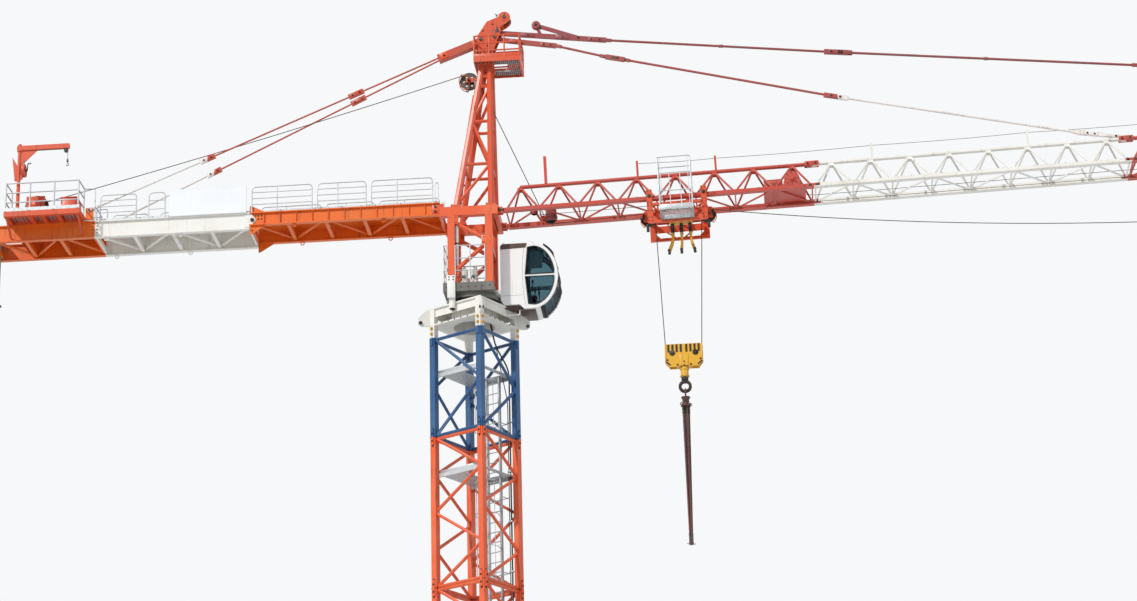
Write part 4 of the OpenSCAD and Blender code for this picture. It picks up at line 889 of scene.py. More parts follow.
def makeCabGuards(kit):  # wire guard before the lower front glass, visor and wiper before the upper one
    shape = bmesh.new()
    low, high = kit["glassY"]
    wire = kit["grilleWire"]
    for i in range(10):
        y = low + 0.012 + (high - low - 0.024) * i / 9
        tube(shape, [(x, y, z) for x, z in [nose(-70 + 60 * k / 14, -0.02) for k in range(15)]], wire, 6)
    for a in range(-70, -9, 6):
        x, z = nose(a, -0.02)
        rod(shape, (x, low + 0.006, z), (x, high - 0.006, z), wire, 6)
    for a in (-68, -40, -12):
        for y in (low - 0.012, high + 0.012):
            x0, z0 = nose(a, 0.004)
            x1, z1 = nose(a, -0.022)
            rod(shape, (x0, y, z0), (x1, y, z1), 0.005, 8)
            rod(shape, (x1, y, z1), (x1, (low if y < 0 else high), z1), 0.0042, 6)
    newPiece("cab_front_guard", shape, ["plasticDark"])
    shape = bmesh.new()
    outer = [nose(40 + 26 * k / 10, -0.034) for k in range(11)]
    inner = [nose(66 - 26 * k / 10, -0.028) for k in range(11)]
    plate(shape, outer + inner, high - low + 0.05, Matrix.Translation((0, high + 0.025, 0)) @ sideways)
    for y in (low + 0.02, high - 0.02):
        for a in (44, 62):
            x0, z0 = nose(a, 0.002)
            x1, z1 = nose(a, -0.03)
            rod(shape, (x0, y, z0), (x1, y, z1), 0.005, 8)
    newPiece("cab_visor", shape, ["plasticDark"])
    shape = bmesh.new()
    x0, z0 = nose(62, -0.006)
    rod(shape, (x0 - 0.01, 0.13, z0 + 0.001), (x0 + 0.012, 0.13, z0 + 0.01), 0.012, 16)
    arm = [nose(62 - 38 * k / 8, -0.016) for k in range(9)]
    tube(shape, [(x, 0.13 + 0.012 * k, z) for k, (x, z) in enumerate(arm)], 0.0035, 6)
    blade = [nose(22 + 26 * k / 8, -0.008) for k in range(9)]
    tube(shape, [(x, 0.214, z) for x, z in blade], 0.0035, 6)
    newPiece("cab_wiper", shape, ["rubber"])


def makeCabRoof(kit):
    shape = bmesh.new()
    top = kit["z"][1]
    # a thin dark brown sheet along the top of each side wall: painted shade cast by the roof's edge
    for y in (kit["y"][0], kit["y"][1] + 0.004):
        shadeBand = [(0.392, top - 0.082), (0.742, top - 0.068), (0.76, top - 0.01), (0.742, top - 0.002),
                (0.42, top - 0.002), (0.389, top - 0.034)]
        plate(shape, shadeBand, 0.004, Matrix.Translation((0, y, 0)) @ sideways, 0, 0.001)
    newPiece("cab_roof_shade_band", shape, ["brown"])
    shape = bmesh.new()
    block(shape, (0.47, 0.02, top - 0.004), (0.7, 0.27, top + 0.026), 0.01)
    block(shape, (0.492, 0.042, top + 0.025), (0.678, 0.248, top + 0.033), 0.004)
    for y in (-0.085, 0.36):
        for x in (0.43, 0.77):
            block(shape, (x - 0.018, y - 0.014, top - 0.002), (x + 0.018, y + 0.014, top + 0.008), 0.002)
            ring = arc(0.013, 0, 360, 12)[:-1]
            tube(shape, [(x + a, y, top + 0.018 + b) for a, b in ring], 0.004, 8, 0, True)
    turned(shape, [(0, 0.046), (0.02, 0.043), (0.032, 0.032), (0.036, 0.014), (0.046, 0.01), (0.046, -0.006),
                   (0, -0.006)],
           Matrix.Translation((0.815, -0.045, top)), 32)
    for x, y in ((0.48, 0.12), (0.48, 0.19)):
        rod(shape, (x - 0.014, y, top + 0.027), (x - 0.002, y, top + 0.027), 0.006, 10)
    newPiece("cab_roof_fittings", shape, ["cabWhite"])


def makeCabWalls(kit):  # door on the far side, seams, vents, steps and the brown tray under the floor
    shape = bmesh.new()
    low = kit["z"][0]
    y = kit["y"][1]
    door = rounded([(0.44, y + 0.001, 15.19), (0.735, y + 0.001, 15.19), (0.735, y + 0.001, 15.89),
                    (0.44, y + 0.001, 15.89)],
                   0.05, 5, True)
    tube(shape, door, 0.0045, 6, 0, True)
    for z in (15.3, 15.8):
        rod(shape, (0.437, y + 0.006, z - 0.03), (0.437, y + 0.006, z + 0.03), 0.009, 12, 1)
    tube(shape, rounded([(0.7, y, 15.5), (0.7, y + 0.03, 15.5), (0.7, y + 0.03, 15.6), (0.7, y, 15.6)], 0.012, 4),
         0.0055, 8, 1)
    for yy, s in ((kit["y"][0], -1), (y, 1)):
        line = [(0.735, yy + s * 0.0005, 15.07), (0.7, yy + s * 0.0005, 15.3), (0.69, yy + s * 0.0005, 15.53),
                (0.7, yy + s * 0.0005, 15.8), (0.722, yy + s * 0.0005, 15.995)]
        tube(shape, rounded(line, 0.08, 4), 0.0016, 4)
        tube(shape, [(0.392, yy + s * 0.0005, 15.245), (0.7, yy + s * 0.0005, 15.245)], 0.0016, 4)
    newPiece("cab_seams", shape, ["rubber", "greased"])
    shape = bmesh.new()
    for k in range(7):  # rear louvres
        z = 15.36 + 0.022 * k
        matrix = Matrix.Translation((0.3845, 0.14, z)) @ Matrix.Rotation(radians(35), 4, "Y")
        block(shape, (-0.01, -0.1, -0.0015), (0.004, 0.1, 0.0015), 0, 0, matrix)
    block(shape, (0.378, 0.025, 15.34), (0.3855, 0.255, 15.348), 0.001)
    block(shape, (0.378, 0.025, 15.508), (0.3855, 0.255, 15.516), 0.001)
    block(shape, (0.43, -0.09, 15.072), (0.64, 0.365, 15.11), 0.008)
    block(shape, (0.655, -0.07, low - 0.02), (0.86, 0.345, low + 0.006), 0.008)
    newPiece("cab_underside", shape, ["brown"])
    shape = bmesh.new()  # grab rail beside the door, step under the floor
    tube(shape, rounded([(0.64, 0.399, 15.3), (0.64, 0.425, 15.3), (0.64, 0.425, 15.78), (0.64, 0.399, 15.78)],
                        0.02, 4), 0.0065, 8)
    tube(shape, rounded([(0.4, -0.05, 15.05), (0.4, -0.05, 14.985), (0.64, -0.05, 14.985),
                         (0.64, -0.05, 15.056)], 0.02, 4),
         0.008, 8)
    newPiece("cab_grab_rails", shape, ["cabWhite"])


def makeCabInside():
    shape = bmesh.new()
    block(shape, (0.412, -0.098, 15.135), (0.65, 0.373, 15.142), 0.002, 0)      # floor mats
    block(shape, (0.655, -0.098, 15.0735), (1, 0.373, 15.084), 0.002, 0)
    block(shape, (0.4095, -0.095, 15.15), (0.416, 0.37, 15.94), 0.002, 1)   # rear lining
    for y in (-0.1035, 0.3725):
        block(shape, (0.42, y, 15.15), (0.715, y + 0.006, 15.945), 0.002, 1)
    block(shape, (0.42, -0.095, 15.972), (0.88, 0.37, 15.984), 0.003, 1)    # head lining
    newPiece("cab_lining", shape, ["rubber", "plasticTeal"])
    shape = bmesh.new()
    for s in (-1, 1):  # consoles with control sticks
        y = 0.1375 + s * 0.175
        block(shape, (0.7, y - 0.03, 15.075), (0.8, y + 0.03, 15.33), 0.01, 0)
        tilt = Matrix.Translation((0.75, y, 15.345)) @ Matrix.Rotation(radians(-6), 4, "Y")
        block(shape, (-0.085, -0.036, -0.02), (0.105, 0.036, 0.022), 0.01, 0, tilt)
        block(shape, (-0.07, -0.026, 0.0215), (0.03, 0.026, 0.026), 0.002, 2, tilt)
        for k in range(6):
            at = tilt @ Vector((-0.058 + 0.02 * (k % 3), -0.012 + 0.024 * (k // 3), 0.026))
            rod(shape, at, at + Vector((0, 0, 0.006)), 0.0055, 12, 3 if k == 4 else 2)
        foot = tilt @ Vector((0.07, 0, 0.022))
        turned(shape, [(0, 0), (0.026, 0), (0.021, 0.008), (0.016, 0.01), (0.013, 0.018), (0.008, 0.026), (0, 0.026)],
               Matrix.Translation(foot), 20, 1)
        rod(shape, foot + Vector((0, 0, 0.02)), foot + Vector((0.006, 0, 0.062)), 0.005, 10, 1)
        turned(shape, [(0, 0.058), (0.01, 0.06), (0.014, 0.078), (0.015, 0.096), (0.01, 0.112), (0, 0.116)],
               Matrix.Translation(foot + Vector((0.006, 0, 0))), 20, 1)
    rod(shape, (0.74, 0.1375, 15.072), (0.74, 0.1375, 15.225), 0.026, 24, 1)
    block(shape, (0.655, 0.045, 15.072), (0.825, 0.23, 15.092), 0.006, 1)
    block(shape, (0.595, 0.02, 15.219), (0.855, 0.255, 15.229), 0.003, 1)
    for z in (15.1, 15.13, 15.16, 15.19):  # bellows under the seat
        turned(shape, [(0.03, -0.014), (0.052, 0), (0.03, 0.014), (0.03, -0.014)], (0.74, 0.1375, z), 24, 1)
    block(shape, (0.87, 0.3, 15.4), (0.885, 0.372, 15.51), 0.005, 1)       # display and its arm
    block(shape, (0.8685, 0.306, 15.406), (0.8702, 0.366, 15.504), 0, 4)
    rod(shape, (0.88, 0.35, 15.3), (0.88, 0.35, 15.41), 0.006, 10, 1)
    rod(shape, (0.78, 0.3425, 15.335), (0.88, 0.35, 15.31), 0.006, 10, 1)
    newPiece("cab_controls", shape, ["plasticGrey", "plasticDark", "cabWhite", "signalRed", "screen"])
    shape = bmesh.new()
    profile = [(0, 0), (0.026, 0), (0.028, 0.006), (0.028, 0.135), (0.022, 0.152), (0.01, 0.16), (0.01, 0.172),
               (0, 0.172)]
    turned(shape, profile, (0.745, -0.068, 15.3), 28, 0)
    block(shape, (0.722, -0.082, 15.47), (0.768, -0.056, 15.482), 0.003, 1)
    tube(shape, rounded([(0.757, -0.068, 15.466), (0.79, -0.068, 15.456), (0.782, -0.068, 15.36)], 0.02, 4), 0.004, 8,
         1)
    block(shape, (0.715, -0.1, 15.29), (0.775, -0.094, 15.48), 0.002, 1)
    block(shape, (0.718, -0.098, 15.286), (0.772, -0.04, 15.299), 0.003, 1)
    newPiece("cab_extinguisher", shape, ["signalRed", "plasticDark"])
    shape = bmesh.new()  # a half-drawn roller blind in the upper window
    rod(shape, (0.76, -0.09, 15.935), (0.985, -0.09, 15.885), 0.009, 12)
    block(shape, (0.775, -0.0915, 15.65), (0.965, -0.0895, 15.895), 0)
    block(shape, (0.773, -0.094, 15.64), (0.967, -0.087, 15.652), 0.002)
    newPiece("cab_blind", shape, ["plasticGrey"])


def swell(mesh, kit, cap):  # a sewn pad blown up by its filling, each point moved no further than cap
    pad = bpy.data.objects.new("padTrial", mesh.copy())
    scene.collection.objects.link(pad)
    remesh = pad.modifiers.new("remesh", "REMESH")
    remesh.mode = "VOXEL"
    remesh.voxel_size = kit["padVoxel"]
    bpy.context.view_layer.update()
    fine = bpy.data.meshes.new_from_object(pad.evaluated_get(bpy.context.evaluated_depsgraph_get()))
    pad.modifiers.remove(remesh)
    pad.data = fine
    start = [vert.co.copy() for vert in fine.vertices]
    cloth = pad.modifiers.new("cloth", "CLOTH")
    cloth.settings.use_pressure = True
    cloth.settings.uniform_pressure_force = 4
    cloth.settings.effector_weights.gravity = 0
    cloth.point_cache.frame_start = 1
    cloth.point_cache.frame_end = 16
    for frameNumber in range(1, 17):
        scene.frame_set(frameNumber)
    moved = bpy.data.meshes.new_from_object(pad.evaluated_get(bpy.context.evaluated_depsgraph_get()))
    scene.frame_set(1)
    for vert, origin in zip(moved.vertices, start):
        step = vert.co - origin
        if step.length > cap:
            vert.co = origin + step.normalized() * cap
    pad.modifiers.remove(cloth)
    bpy.data.objects.remove(pad)
    shape = bmesh.new()
    shape.from_mesh(moved)
    bmesh.ops.smooth_vert(shape, verts=shape.verts, factor=0.5, use_axis_x=True, use_axis_y=True, use_axis_z=True)
    return shape


def makePad(name, low, high, channels, kit):
    shape = bmesh.new()
    margin = kit["padSwell"]
    low, high = Vector(low) + Vector((margin,) * 3), Vector(high) - Vector((margin,) * 3)
    block(shape, low, high, 0.012)
    mesh = bpy.data.meshes.new(name + "Start")
    shape.to_mesh(mesh)
    shape.free()
    pad = swell(mesh, kit, margin)
    for axis, places in channels.items():  # sewn channels pressed into the filled form
        for vert in pad.verts:
            for place in places:
                away = abs(vert.co[axis] - place)
                if away < 0.012:
                    inward = ((low + high) / 2 - vert.co)
                    inward[axis] = 0
                    if inward.length > 0.001:
                        vert.co += inward.normalized() * 0.0035 * (1 - away / 0.012)
    piece = newPiece(name, pad, ["seatRed"], smooth=60)
    return piece


def makeSeat(kit):
    cushion = makePad("seat_cushion", (0.586, 0.009, 15.2292), (0.864, 0.266, 15.292), {1: (0.07, 0.205), 0: (0.69,)},
                      kit)
    back = makePad("seat_back", (0.586, 0.012, 15.294), (0.644, 0.263, 15.628), {1: (0.07, 0.205), 2: (15.4, 15.52)},
                   kit)
    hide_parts("cab_seat")
    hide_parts("cab_seat")
    shape = bmesh.new()  # piping round the cushions and the back's shell
    z = 15.2605
    tube(shape, rounded([(0.588, 0.011, z), (0.862, 0.011, z), (0.862, 0.264, z), (0.588, 0.264, z)], 0.022, 4, True),
         0.0022, 6, 0, True)
    tube(shape, rounded([(0.615, 0.0135, 15.298), (0.615, 0.2615, 15.298), (0.615, 0.2615, 15.624),
                         (0.615, 0.0135, 15.624)], 0.022, 4, True),
         0.0022, 6, 0, True)
    block(shape, (0.577, 0.03, 15.25), (0.588, 0.245, 15.6), 0.004, 1)
    for y in (0.045, 0.23):
        rod(shape, (0.595, y, 15.222), (0.583, y, 15.3), 0.007, 10, 1)
    newPiece("seat_trim", shape, ["rubber", "plasticDark"])


makeCabGaskets(cabKit)
makeCabGuards(cabKit)
makeCabRoof(cabKit)
makeCabWalls(cabKit)
makeCabInside()
makeSeat(cabKit)
print("cab details made")

headKit = {
    "top": 18.735, "plateY": 0.087, "eye": (0.5, 19.495), "arm": (0.165, 19.167), "inner": (0.36, 19.191),
    "outer": (0.395, 19.286), "platform": (0.075, 0.735, 0.3, 18.785), "railHeight": 0.345,
    "sheave": (-0.02, 18.555), "guardRadius": 0.142,
}


def makeHeadPins(kit):
    shape = bmesh.new()
    y = kit["plateY"]
    for x, z in (kit["eye"], kit["arm"], kit["inner"], kit["outer"]):
        for s in (-1, 1):
            place = placeAt((x, s * y, z), (0, s, 0))
            turned(shape, [(0, 0.013), (0.024, 0.013), (0.027, 0.01), (0.027, 0), (0.036, 0), (0.036, -0.002),
                           (0, -0.002)],
                   place, 28, 0)
            block(shape, (-0.012, 0.018, -0.001), (0.012, 0.062, 0.006), 0.001, 0, place)
            for dx in (0.03, 0.052):
                bolt(shape, place @ Vector((0, dx, 0.006)), (0, s, 0), 0.006)
    for x, z in ((0.175, 18.805), (0.245, 18.805), (0.175, 18.865), (0.255, 18.865), (0.15, 18.96), (0.3, 18.96),
                 (0.255, 19.06), (0.195, 19.3), (0.33, 19.395)):
        for s in (-1, 1):
            bolt(shape, (x, s * y, z), (0, s, 0), 0.011, shank=0.016)
    x, z = kit["sheave"]
    for s in (-1, 1):
        bolt(shape, (x, s * 0.06, z), (0, s, 0), 0.02)
    newPiece("head_pins", shape, ["greased"])


def makeHeadPlates(kit):  # doubler plates, stiffening ribs and gussets of the tower head
    shape = bmesh.new()
    y = kit["plateY"]
    for s in (-1, 1):
        face = Matrix.Translation((0, -y, 0)) @ sideways if s < 0 else Matrix.Translation((0, y + 0.005, 0)) @ sideways
        plate(shape, [(kit["eye"][0] + a, kit["eye"][1] + b) for a, b in arc(0.058, 0, 345, 23)], 0.005, face, 0, 0.001)
        plate(shape, [(kit["arm"][0] + a, kit["arm"][1] + b) for a, b in arc(0.044, 0, 345, 23)], 0.005, face, 0, 0.001)
        plate(shape, [(0.3, 19.14), (0.4, 19.15), (0.452, 19.3), (0.42, 19.345), (0.345, 19.33), (0.31, 19.23)],
              0.005, face, 0, 0.001)
        block(shape, (0.13, s * 0.0885 - 0.0115, 18.765), (0.285, s * 0.0885 + 0.0115, 18.79), 0.002)
        for x in (0.15, 0.27):
            outline = [(0, 0), (0.075, 0), (0, 0.11)]
            turn = Matrix.Rotation(radians(90 * s), 4, "Z")
            plate(shape, outline, 0.008, Matrix.Translation((x + 0.004, s * 0.087, 18.765)) @ turn @ sideways, 0)
        block(shape, (0.205, s * 0.075 - 0.045, 19), (0.213, s * 0.075 + 0.045, 19.02), 0.001)
    rod(shape, (0.195, -0.064, 18.765), (0.18, -0.064, 19.06), 0.006, 6)
    for z in (18.87, 19.03, 19.44):
        x = 0.2 if z < 19.2 else 0.4
        rod(shape, (x, -0.063, z), (x, 0.063, z), 0.017, 14)
    newPiece("head_plate_details", shape, ["headOrange"])


def makeHeadPlatform(kit):
    shape = bmesh.new()
    x0, x1, y, floor = kit["platform"]
    h = kit["railHeight"]
    r = 0.012
    yy = y - 0.01
    xa, xb = x0 + 0.01, x1 - 0.01
    for z in (floor + h - 0.008, floor + h * 0.667 - 0.008, floor + h * 0.333 - 0.008):
        path = [(xa, -0.12, z), (xa, -yy, z), (xb, -yy, z), (xb, yy, z), (xa, yy, z), (xa, 0.12, z)]
        tube(shape, rounded(path, 0.03, 4), r, 8)
    for px in (xa, xa + (xb - xa) / 3, xa + (xb - xa) * 2 / 3, xb):
        for s in (-1, 1):
            rod(shape, (px, s * yy, floor), (px, s * yy, floor + h - 0.01), r, 10)
    for py in (-0.1, 0.1):
        rod(shape, (xb, py, floor), (xb, py, floor + h - 0.01), r, 10)
        rod(shape, (xa, py * 1.2, floor), (xa, py * 1.2, floor + h - 0.004), r, 10)
    for s in (-1, 1):
        block(shape, (x0, s * (y - 0.003) - 0.003, floor), (x1, s * (y - 0.003) + 0.003, floor + 0.055), 0.001)
    block(shape, (x1 - 0.006, -y, floor), (x1, y, floor + 0.055), 0.001)
    newPiece("head_platform_tubes", shape, ["headOrange"])
    shape = bmesh.new()  # serrated grating bars seen from below
    for k in range(22):
        px = x0 + 0.028 + k * 0.0285
        for a, b in ((0.022 - y, -0.112), (0.112, y - 0.022)):
            block(shape, (px, a, floor - 0.045), (px + 0.004, b, floor - 0.02), 0)
        if px > 0.545:
            block(shape, (px, -0.112, floor - 0.045), (px + 0.004, 0.112, floor - 0.02), 0)
    for py in (-0.24, -0.18, -0.125, 0.125, 0.18, 0.24):
        block(shape, (x0 + 0.02, py - 0.002, floor - 0.045), (x1 - 0.02, py + 0.002, floor - 0.024), 0)
    newPiece("head_platform_grating", shape, ["galvanized"])


def makeHeadFittings(kit):  # sheave guards, limit switch box, cable, wind gauge and foot bolts
    shape = bmesh.new()
    x, z = kit["sheave"]
    for s in (-1, 1):
        for a in (140, 200, 255):
            px, pz = polar(kit["guardRadius"], a, x, z)
            rod(shape, (px, -0.05, pz), (px, 0.05, pz), 0.007, 10)
        path = [(px, s * 0.045, pz) for px, pz in [polar(kit["guardRadius"], a, x, z) for a in range(135, 262, 14)]]
        tube(shape, path, 0.006, 6)
        rod(shape, path[0], (x + 0.05, s * 0.045, z + 0.028), 0.006, 6)
        rod(shape, path[-1], (x + 0.01, s * 0.045, z - 0.028), 0.006, 6)
    newPiece("head_sheave_guard", shape, ["headOrange"])
    shape = bmesh.new()
    block(shape, (0.055, -0.105, 18.42), (0.115, -0.045, 18.53), 0.006, 0)
    block(shape, (0.062, -0.108, 18.44), (0.108, -0.104, 18.515), 0.002, 1)
    tube(shape, rounded([(0.085, -0.075, 18.42), (0.085, -0.075, 18.3), (0.06, -0.1, 18.1), (-0.02, -0.165, 17.55),
                         (-0.09, -0.235, 16.95), (-0.12, -0.29, 16.6), (-0.15, -0.33, 16.37)], 0.06, 4), 0.007, 8, 0)
    for f in (0.15, 0.35, 0.55, 0.75):
        px, pz = -0.135 + (0.085 + 0.135) * f, 16.6 + 1.75 * f
        block(shape, (px - 0.02, -0.31 + 0.22 * f, pz - 0.008), (px + 0.03, -0.27 + 0.2 * f, pz + 0.008), 0.002, 0)
    rod(shape, (0.395, -0.05, 19.47), (0.395, -0.05, 19.545), 0.005, 8, 0)
    for k, (x, y) in enumerate(circle(0.032, 3)):
        tip = Vector((0.395 + x, -0.05 + y, 19.552))
        rod(shape, (0.395, -0.05, 19.552), tip, 0.002, 6, 0)
        turned(shape, [(0, -0.006), (0.007, -0.004), (0.01, 0.004), (0.008, 0.004), (0, -0.002)],
               Matrix.Translation(tip) @ Matrix.Rotation(tau * k / 3, 4, "Z") @ sideways, 10, 0)
    rod(shape, (0.395, -0.05, 19.543), (0.395, -0.05, 19.56), 0.007, 10, 0)
    newPiece("head_switches", shape, ["plasticDark", "plasticGrey"])
    shape = bmesh.new()
    for s in (-1, 1):  # feet of the head legs
        for x in (-0.19, 0.295):
            for dx in (-0.054, 0.054):
                for dy in (-0.052, 0.044):
                    bolt(shape, (x + dx, s * (0.34 + dy), 16.5253), (0, 0, 1), 0.0105, shank=0.018)
    newPiece("head_foot_bolts", shape, ["greased"])


makeHeadPins(headKit)
makeHeadPlates(headKit)
makeHeadPlatform(headKit)
makeHeadFittings(headKit)
print("tower head details made")


jibKit = {
    "half": 0.3, "chord": 0.03, "top": 0.45, "joints": (4.336, 8.672, 13.008, 17.344), "end": 19.512, "panel": 0.542,
    "winchX": 4.045, "posts": ((0.635, 0.887), (1.92, 0.706), (3.01, 0.691), (5.185, 0.695), (7.335, 0.7)),
    "farPosts": (9.5, 11.68, 13.85, 16.02, 18.19), "lineRadius": 0.0035,
}
jibPlace = Matrix.Translation((level["footX"], 0, level["footZ"])) @ Matrix.Rotation(-level["slope"], 4, "Y")


def onSlope(shape):
    bmesh.ops.transform(shape, matrix=jibPlace, verts=shape.verts)


def makeJibJoints(kit):  # fork plates and pins where two jib sections meet
    shape = bmesh.new()
    half, chord, top = kit["half"], kit["chord"], kit["top"]
    for x in kit["joints"]:
        for s in (-1, 1):
            for face in (s * half - chord - 0.0065, s * half + chord + 0.0005):
                low = 0.012 - chord if abs(face) > half else -chord
                block(shape, (x - 0.085, face, low), (x + 0.085, face + 0.006, chord), 0.002, 0)
            for dx in (-0.05, 0.05):
                rod(shape, (x + dx, s * half - 0.052, 0.004), (x + dx, s * half + 0.052, 0.004), 0.0125, 14, 1)
                rod(shape, (x + dx, s * (half + 0.0365), 0.004), (x + dx, s * (half + 0.043), 0.004), 0.021, 16, 1)
        for s in (-1, 1):
            block(shape, (x - 0.1, s * 0.0445 - 0.004, top - 0.034), (x + 0.1, s * 0.0445 + 0.004, top + 0.034),
                  0.003, 0)
            for dx in (-0.055, 0.055):
                rod(shape, (x + dx, s * 0.046, top), (x + dx, s * 0.06, top), 0.015, 14, 1)
                bolt(shape, (x + dx, s * 0.06, top), (0, s, 0), 0.01, 1)
    onSlope(shape)
    newPiece("jib_joint_forks", shape, ["jibOrange", "greased"])
    shape = bmesh.new()
    for i in range(36):  # gusset plates at the apexes
        x = (i + 0.5) * kit["panel"]
        for s in (-1, 1):
            place = Matrix.Translation((x, s * 0.03, kit["top"] - 0.036)) @ Matrix.Rotation(s * radians(33), 4, "X")
            block(shape, (-0.04, -0.003, -0.03), (0.04, 0.003, 0.022), 0, 0, place)
    onSlope(shape)
    newPiece("jib_apex_gussets", shape, ["jibByPlace"])


def makeLifeline(kit):
    shape = bmesh.new()
    top = kit["top"]
    for x in kit["farPosts"]:
        block(shape, (x - 0.013, -0.013, top + 0.02), (x + 0.013, 0.013, top + 0.245), 0.003, 0)
        block(shape, (x - 0.03, -0.022, top + 0.02), (x + 0.03, 0.022, top + 0.032), 0.002, 0)
    places = list(kit["posts"]) + [(x, top + 0.245) for x in kit["farPosts"]]
    for x, z in places:
        tube(shape, [(x + a, 0.024, z - 0.022 + b) for a, b in arc(0.012, 0, 360, 10)[:-1]], 0.003, 6, 1, True)
        rod(shape, (x, 0.01, z - 0.022), (x, 0.03, z - 0.022), 0.0035, 6, 1)
    onSlope(shape)
    newPiece("lifeline_posts", shape, ["jibByPlace", "greased"])
    shape = bmesh.new()
    path = []
    for (x0, z0), (x1, z1) in zip(places[1:], places[2:]):  # a taut wire rope still dips a little between posts
        for k in range(8):
            t = k / 8
            path.append((x0 + (x1 - x0) * t, 0.03, z0 - 0.022 + (z1 - z0) * t - 0.05 * t * (1 - t)))
    path.append((places[-1][0], 0.03, places[-1][1] - 0.022))
    tube(shape, path, kit["lineRadius"], 6)
    onSlope(shape)
    newPiece("lifeline_rope", shape, ["ropeSteel"])


def makeJibCables(kit):
    shape = bmesh.new()
    y, z = -kit["half"] + 0.016, kit["chord"] + 0.009
    tube(shape, [(0.12, y, z), (4.9, y, z)] + [(5.0 + 0.4 * k, y, z) for k in range(36)], 0.0075, 8)
    tube(shape, rounded([(0.12, y + 0.02, z - 0.001), (3.5, y + 0.02, z - 0.001), (3.6, y + 0.07, z + 0.01),
                         (3.66, -0.1, 0.09)], 0.04, 4),
         0.0065, 8)
    for k in range(46):
        x = 0.22 + 0.42 * k
        block(shape, (x - 0.007, y - 0.014, z - 0.01), (x + 0.007, y + 0.032 if x < 3.5 else y + 0.012, z + 0.0105), 0)
    onSlope(shape)
    newPiece("jib_cables", shape, ["rubber"])
    shape = bmesh.new()
    block(shape, (0.61, -0.06, -0.08), (0.76, 0.005, 0.12), 0.006, 0)
    for z in (-0.05, 0.09):
        for x in (0.63, 0.74):
            bolt(shape, (x, -0.06, z), (0, -1, 0), 0.007, 1)
    for a in (150, 215, 280):
        px, pz = polar(0.092, a, 0.685, -0.0296)
        rod(shape, (px, 0.02, pz), (px, 0.1, pz), 0.006, 8, 1)
    onSlope(shape)
    newPiece("jib_foot_box", shape, ["jibDark", "greased"])
    shape = bmesh.new()
    for s in (-1, 1):  # caps and keepers of the two foot pins
        for y in (0.255, 0.345):
            rod(shape, (0, s * y - 0.003, 0), (0, s * y + 0.003, 0), 0.03, 20)
        bolt(shape, (0, s * 0.3545, 0), (0, s, 0), 0.016)
        block(shape, (0.016, s * 0.35, -0.01), (0.06, s * 0.355, 0.01), 0.001)
    onSlope(shape)
    newPiece("jib_foot_pins", shape, ["greased"])


def makeTrolleyWinch(kit):
    shape = bmesh.new()
    x, z = kit["winchX"], 0.175
    profile = [(0.0745, -0.184)]
    for k in range(26):
        y = -0.182 + 0.0138 * k
        profile += [(0.0795, y + 0.001), (0.0825, y + 0.0069), (0.0795, y + 0.0128)]
    profile += [(0.0745, 0.183)]
    turned(shape, profile, placeAt((x, 0, z), (0, 1, 0)), 40, 0)
    onSlope(shape)
    newPiece("trolley_winch_rope", shape, ["ropeSteel"])
    shape = bmesh.new()
    for s in (-1, 1):
        for dx, dz in circle(0.088, 8):
            bolt(shape, (x + dx, s * 0.222, z + dz), (0, s, 0), 0.008, 1)
        rod(shape, (x, s * 0.222, z), (x, s * 0.232, z), 0.055, 28, 0)
    profile = [(0, 0), (0.052, 0), (0.054, 0.004)]
    for k in range(9):
        profile += [(0.054, 0.012 + 0.013 * k), (0.062, 0.013 + 0.013 * k), (0.062, 0.017 + 0.013 * k),
                    (0.054, 0.018 + 0.013 * k)]
    profile += [(0.054, 0.135), (0.06, 0.137), (0.06, 0.16), (0.048, 0.172), (0, 0.174)]
    turned(shape, profile, placeAt((x - 0.125, 0.062, z - 0.05), (0, 1, 0)), 36, 2)
    block(shape, (x - 0.15, 0.09, z + 0.004), (x - 0.1, 0.15, z + 0.034), 0.004, 2)
    block(shape, (x - 0.18, 0.18, 0.0225), (x + 0.02, 0.208, 0.11), 0.006, 0)
    block(shape, (x - 0.384, -0.103, 0.04), (x - 0.136, -0.1, 0.21), 0.002, 0)
    for dx in (-0.36, -0.16):
        for dz in (0.055, 0.195):
            bolt(shape, (x + dx, -0.103, dz), (0, -1, 0), 0.006, 1)
    for k in range(5):
        block(shape, (x - 0.33, -0.1045, 0.075 + 0.02 * k), (x - 0.19, -0.1025, 0.083 + 0.02 * k), 0, 1)
    for dx in (-0.38, -0.14, 0.16):
        for y in (-0.225, 0.225):
            bolt(shape, (x + dx, y, 0.0219), (0, 0, 1), 0.009, 1)
    onSlope(shape)
    newPiece("trolley_winch_drive", shape, ["jibOrange", "greased", "plasticGrey"])


def makeTip(kit):
    shape = bmesh.new()
    end = kit["end"]
    for s in (-1, 1):
        for z in (-0.07, 0):
            bolt(shape, (end - 0.02, s * 0.3, z), (-1, 0, 0), 0.01, 1)
            bolt(shape, (end, s * 0.3, z), (1, 0, 0), 0.01, 1)
        bolt(shape, (end + 0.08, s * 0.048, 0.01), (0, s, 0), 0.02, 1)
        block(shape, (end + 0.001, s * 0.18 - 0.02, -0.085), (end + 0.03, s * 0.18 + 0.02, 0.025), 0.006, 2)
    rod(shape, (end - 0.01, 0, 0.478), (end - 0.01, 0, 0.54), 0.01, 12, 0)
    turned(shape, [(0, 0), (0.02, 0), (0.02, 0.018), (0.024, 0.02), (0.024, 0.046), (0.014, 0.06), (0, 0.062)],
           Matrix.Translation((end - 0.01, 0, 0.538)), 24, 3)
    onSlope(shape)
    newPiece("jib_tip_fittings", shape, ["jibOrange", "greased", "rubber", "signalRed"])


def taut(name, points, radius):  # a wire rope that reaches from one body to another
    shape = bmesh.new()
    tube(shape, points, radius, 8)
    piece = newPiece(name, shape, ["ropeSteel"], None, 60)
    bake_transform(piece)
    return piece


